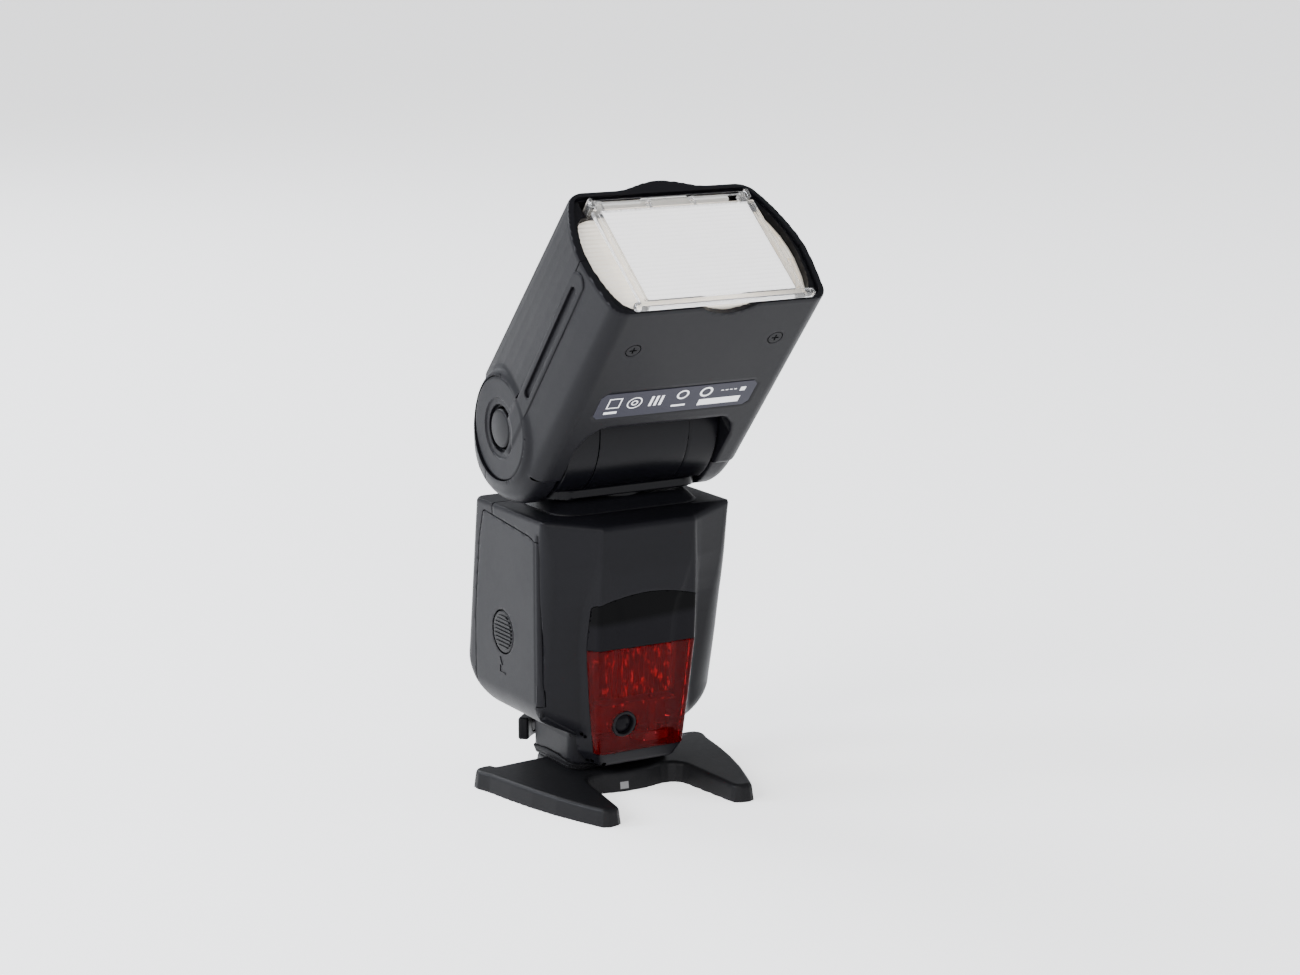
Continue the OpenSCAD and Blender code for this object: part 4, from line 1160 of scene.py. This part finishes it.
make("front_case", front_case, (-33.5, -25, 9), (34, 16, 90), 0.7, "flash", CASE, "front_cover")
make("rear_case", rear_case, (-33.5, 14, 18), (34, 39, 90), 0.7, "flash", CASE, "rear_cover")
make("battery_lid", battery_lid, (-33.5, -15, 18), (-17, 27, 88), 0.6, "door", CASE, "battery_door")
make("lid_lock", lock_disc, (-33.5, 1, 42), (-30, 16, 57), 0.22, "door_lock", TRIM, "door_lock_button")
make("dark_window", dark_window, (-21, -25, 47), (21, -14, 66), 0.45, "flash", INFRARED, "ir_window")
make("red_window", red_window, (-21, -25, 13), (21, -8, 49), 0.45, "flash", RED, "af_window")
make("neck_collar", collar_shape, (-26, -16, 89), (26, 16, 93), 0.5, "flash", CASE, "swivel_collar")

# ---------- the neck and the head ----------

make("neck_barrel", neck_shape, (-26, -22.5, 84), (26, 22.5, 138), 0.7, "neck", SMOOTH, "neck_frame")
make("neck_caps", neck_caps, (-26, -22.5, 96), (26, 22.5, 138), 0.7, "neck", SMOOTH, "neck_end_caps")
make("head_underside", lower_shell, (-38.5, -76, -25), (38.5, 24, -2.5), 0.7,
     "head", CASE, "head_lower_case", place=HEAD)
make("head_top", upper_shell, (-38.5, -76, -3.5), (38.5, 24, 28), 0.7, "head", CASE, "head_upper_case", place=HEAD)
make("window_frame", bezel_frame, (-37, -75, -24), (37, -67, 26), 0.5, "head", SMOOTH, "head_bezel", place=HEAD)
make("ribbed_lens", ribbed_lens, (-35, -73.5, -22.5), (35, -70, 15), 0.35, "head", IVORY, "fresnel_lens", place=HEAD)
make("rating_plate", rating_plate, (-27, -41, -25), (27, -28, -22), 0.35, "head", PLATE, "label_plate", place=HEAD)
for side, name, node in ((-1, "left_disc", "left_side_cover"), (1, "right_disc", "right_side_cover")):
    inner, outer = sorted((side * 36, side * 38.9))
    make(name, lambda x, v, w, s=side: side_cover(x, v, w, s), (inner, -74, -17), (outer, 17, 17), 0.45,
         "head", CASE, node, place=HEAD)
make("release_button", release_button, (-38.6, -6.5, -6.5), (-12, 6.5, 6.5), 0.4,
     "tilt_release", TRIM, "tilt_button", place=HEAD)

make("wide_screen", wide_screen, (-25, -78, -22), (25, -75, 14), 0.5, "wide_flap", MILKY, "wide_panel", place=HEAD)
make("wide_frame", wide_frame, (-30.5, -79, -25), (30.5, -75, 18.5), 0.3, "wide_flap", CLEAR, place=HEAD)
dots = dot_field("wide_dots", 47, 33, 30, 22, 0.36, DOTS)
carry(dots, HEAD @ Matrix.Translation((0, -77.32, -4.0)) @ Matrix.Rotation(math.radians(90), 4, "X"))
dress(dots, "wide_flap", DOTS)
make("clear_carriage", clear_carriage, (-27.5, -79, 15), (27.5, -28, 19), 0.4,
     "wide_arms", CLEAR, "wide_carriage", place=HEAD)
make("catch_card", catch_card, (-23, -76, 18.5), (23, -31, 20), 0.35,
     "catchlight", WHITE_CARD, "catch_panel", place=HEAD)

# ---------- small parts of the front and the side ----------

make("sensor_bezel", sensor_bezel, (-11.5, -24, 18), (-1.5, -17, 29), 0.2, "flash", TRIM, "sensor_ring")
make("sensor_glass", sensor_glass, (-10.5, -24, 19), (-2.5, -17, 28), 0.2, "flash", INFRARED, "sensor_lens")
make("lamp_block", lamp_block, (-15, -21, 14), (15, -8, 48), 0.35, "flash", LAMP, "af_lamp_module")
make("terminal_lid", terminal_lid, (31, -7, 43.5), (34, 9, 69), 0.3, "terminal_flap", RUBBER, "terminal_cover")

# ---------- the rear controls ----------

def rear_at(x, y, z=0.0):
    return REAR @ Matrix.Translation((x, y, z))


for i in range(4):
    make(f"push_key_{i + 1}", push_key, (-4.5, -2.6, -3), (4.5, 2.6, 1), 0.25, f"button_{i + 1}", TRIM,
         f"function_button_{i + 1}", place=rear_at((i - 1.5) * KEY_PITCH, KEYS_Y))
make("dial_ring", dial_ring, (-8, -8, -1), (8, 8, 2.5), 0.3, "dial", TRIM, "select_dial", place=rear_at(0, DIAL_Y))
ridges = carry(ridge_ring("dial_ridges", 7.6, 60, 0.22, 2.0, TRIM), rear_at(0, DIAL_Y, 0.7))
dress(ridges, "dial", TRIM)
make("set_key", set_key, (-3.6, -3.6, -2.5), (3.6, 3.6, 3), 0.25, "set", TRIM, "set_button", place=rear_at(0, DIAL_Y))
make("pilot_key", pilot_key, (-3.1, -3.1, -3), (3.1, 3.1, 1.2), 0.25,
     "pilot", AMBER, "pilot_button", place=rear_at(-17.5, DIAL_Y))
make("switch_knob", switch_knob, (-2.6, -1.6, -3), (2.6, 1.6, 1.3), 0.16,
     "switch", TRIM, "power_switch", place=rear_at(15.5, DIAL_Y))

# ---------- screws of the head ----------

pattern = mould("screw_pattern", screw_head, (-2.3, -2.3, -1), (2.3, 2.3, 0.1), 0.16)
pattern.data.transform(Matrix.Scale(1 / MM, 4))
spots = [(-SCREW_X, SCREW_U, 23.55), (SCREW_X, SCREW_U, 23.55)]
head_screws = copies("head_screw_heads", pattern, spots, TRIM)
bpy.data.objects.remove(pattern)
carry(head_screws, HEAD @ Matrix.Rotation(math.pi, 4, "X"))
dress(head_screws, "head", TRIM)

# ---------- carried-over nodes ----------

KEPT = {
    "tripod_insert": BRASS, "foot_plate": STEEL, "foot_screws": STEEL, "foot_contacts": BRASS, "locking_pin": STEEL,
    "door_hinge_pin": TRIM, "battery_contacts": STEEL, "batteries": CELL, "battery_tray": TRIM, "main_board": BOARD,
    "main_capacitor": SMOOTH, "pc_socket": STEEL, "power_socket": TRIM, "swivel_retainer": STEEL, "tilt_axles": STEEL,
    "zoom_motor": STEEL, "zoom_carriage": TRIM, "reflector": MIRROR, "flash_tube": CLEAR, "lead_screw": STEEL,
    "head_screws": TRIM, "lcd_window": CLEAR, "lcd_module": DISPLAY,
}
for node, finish in KEPT.items():
    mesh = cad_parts[node].data
    mesh.materials.clear()
    mesh.materials.append(finish)
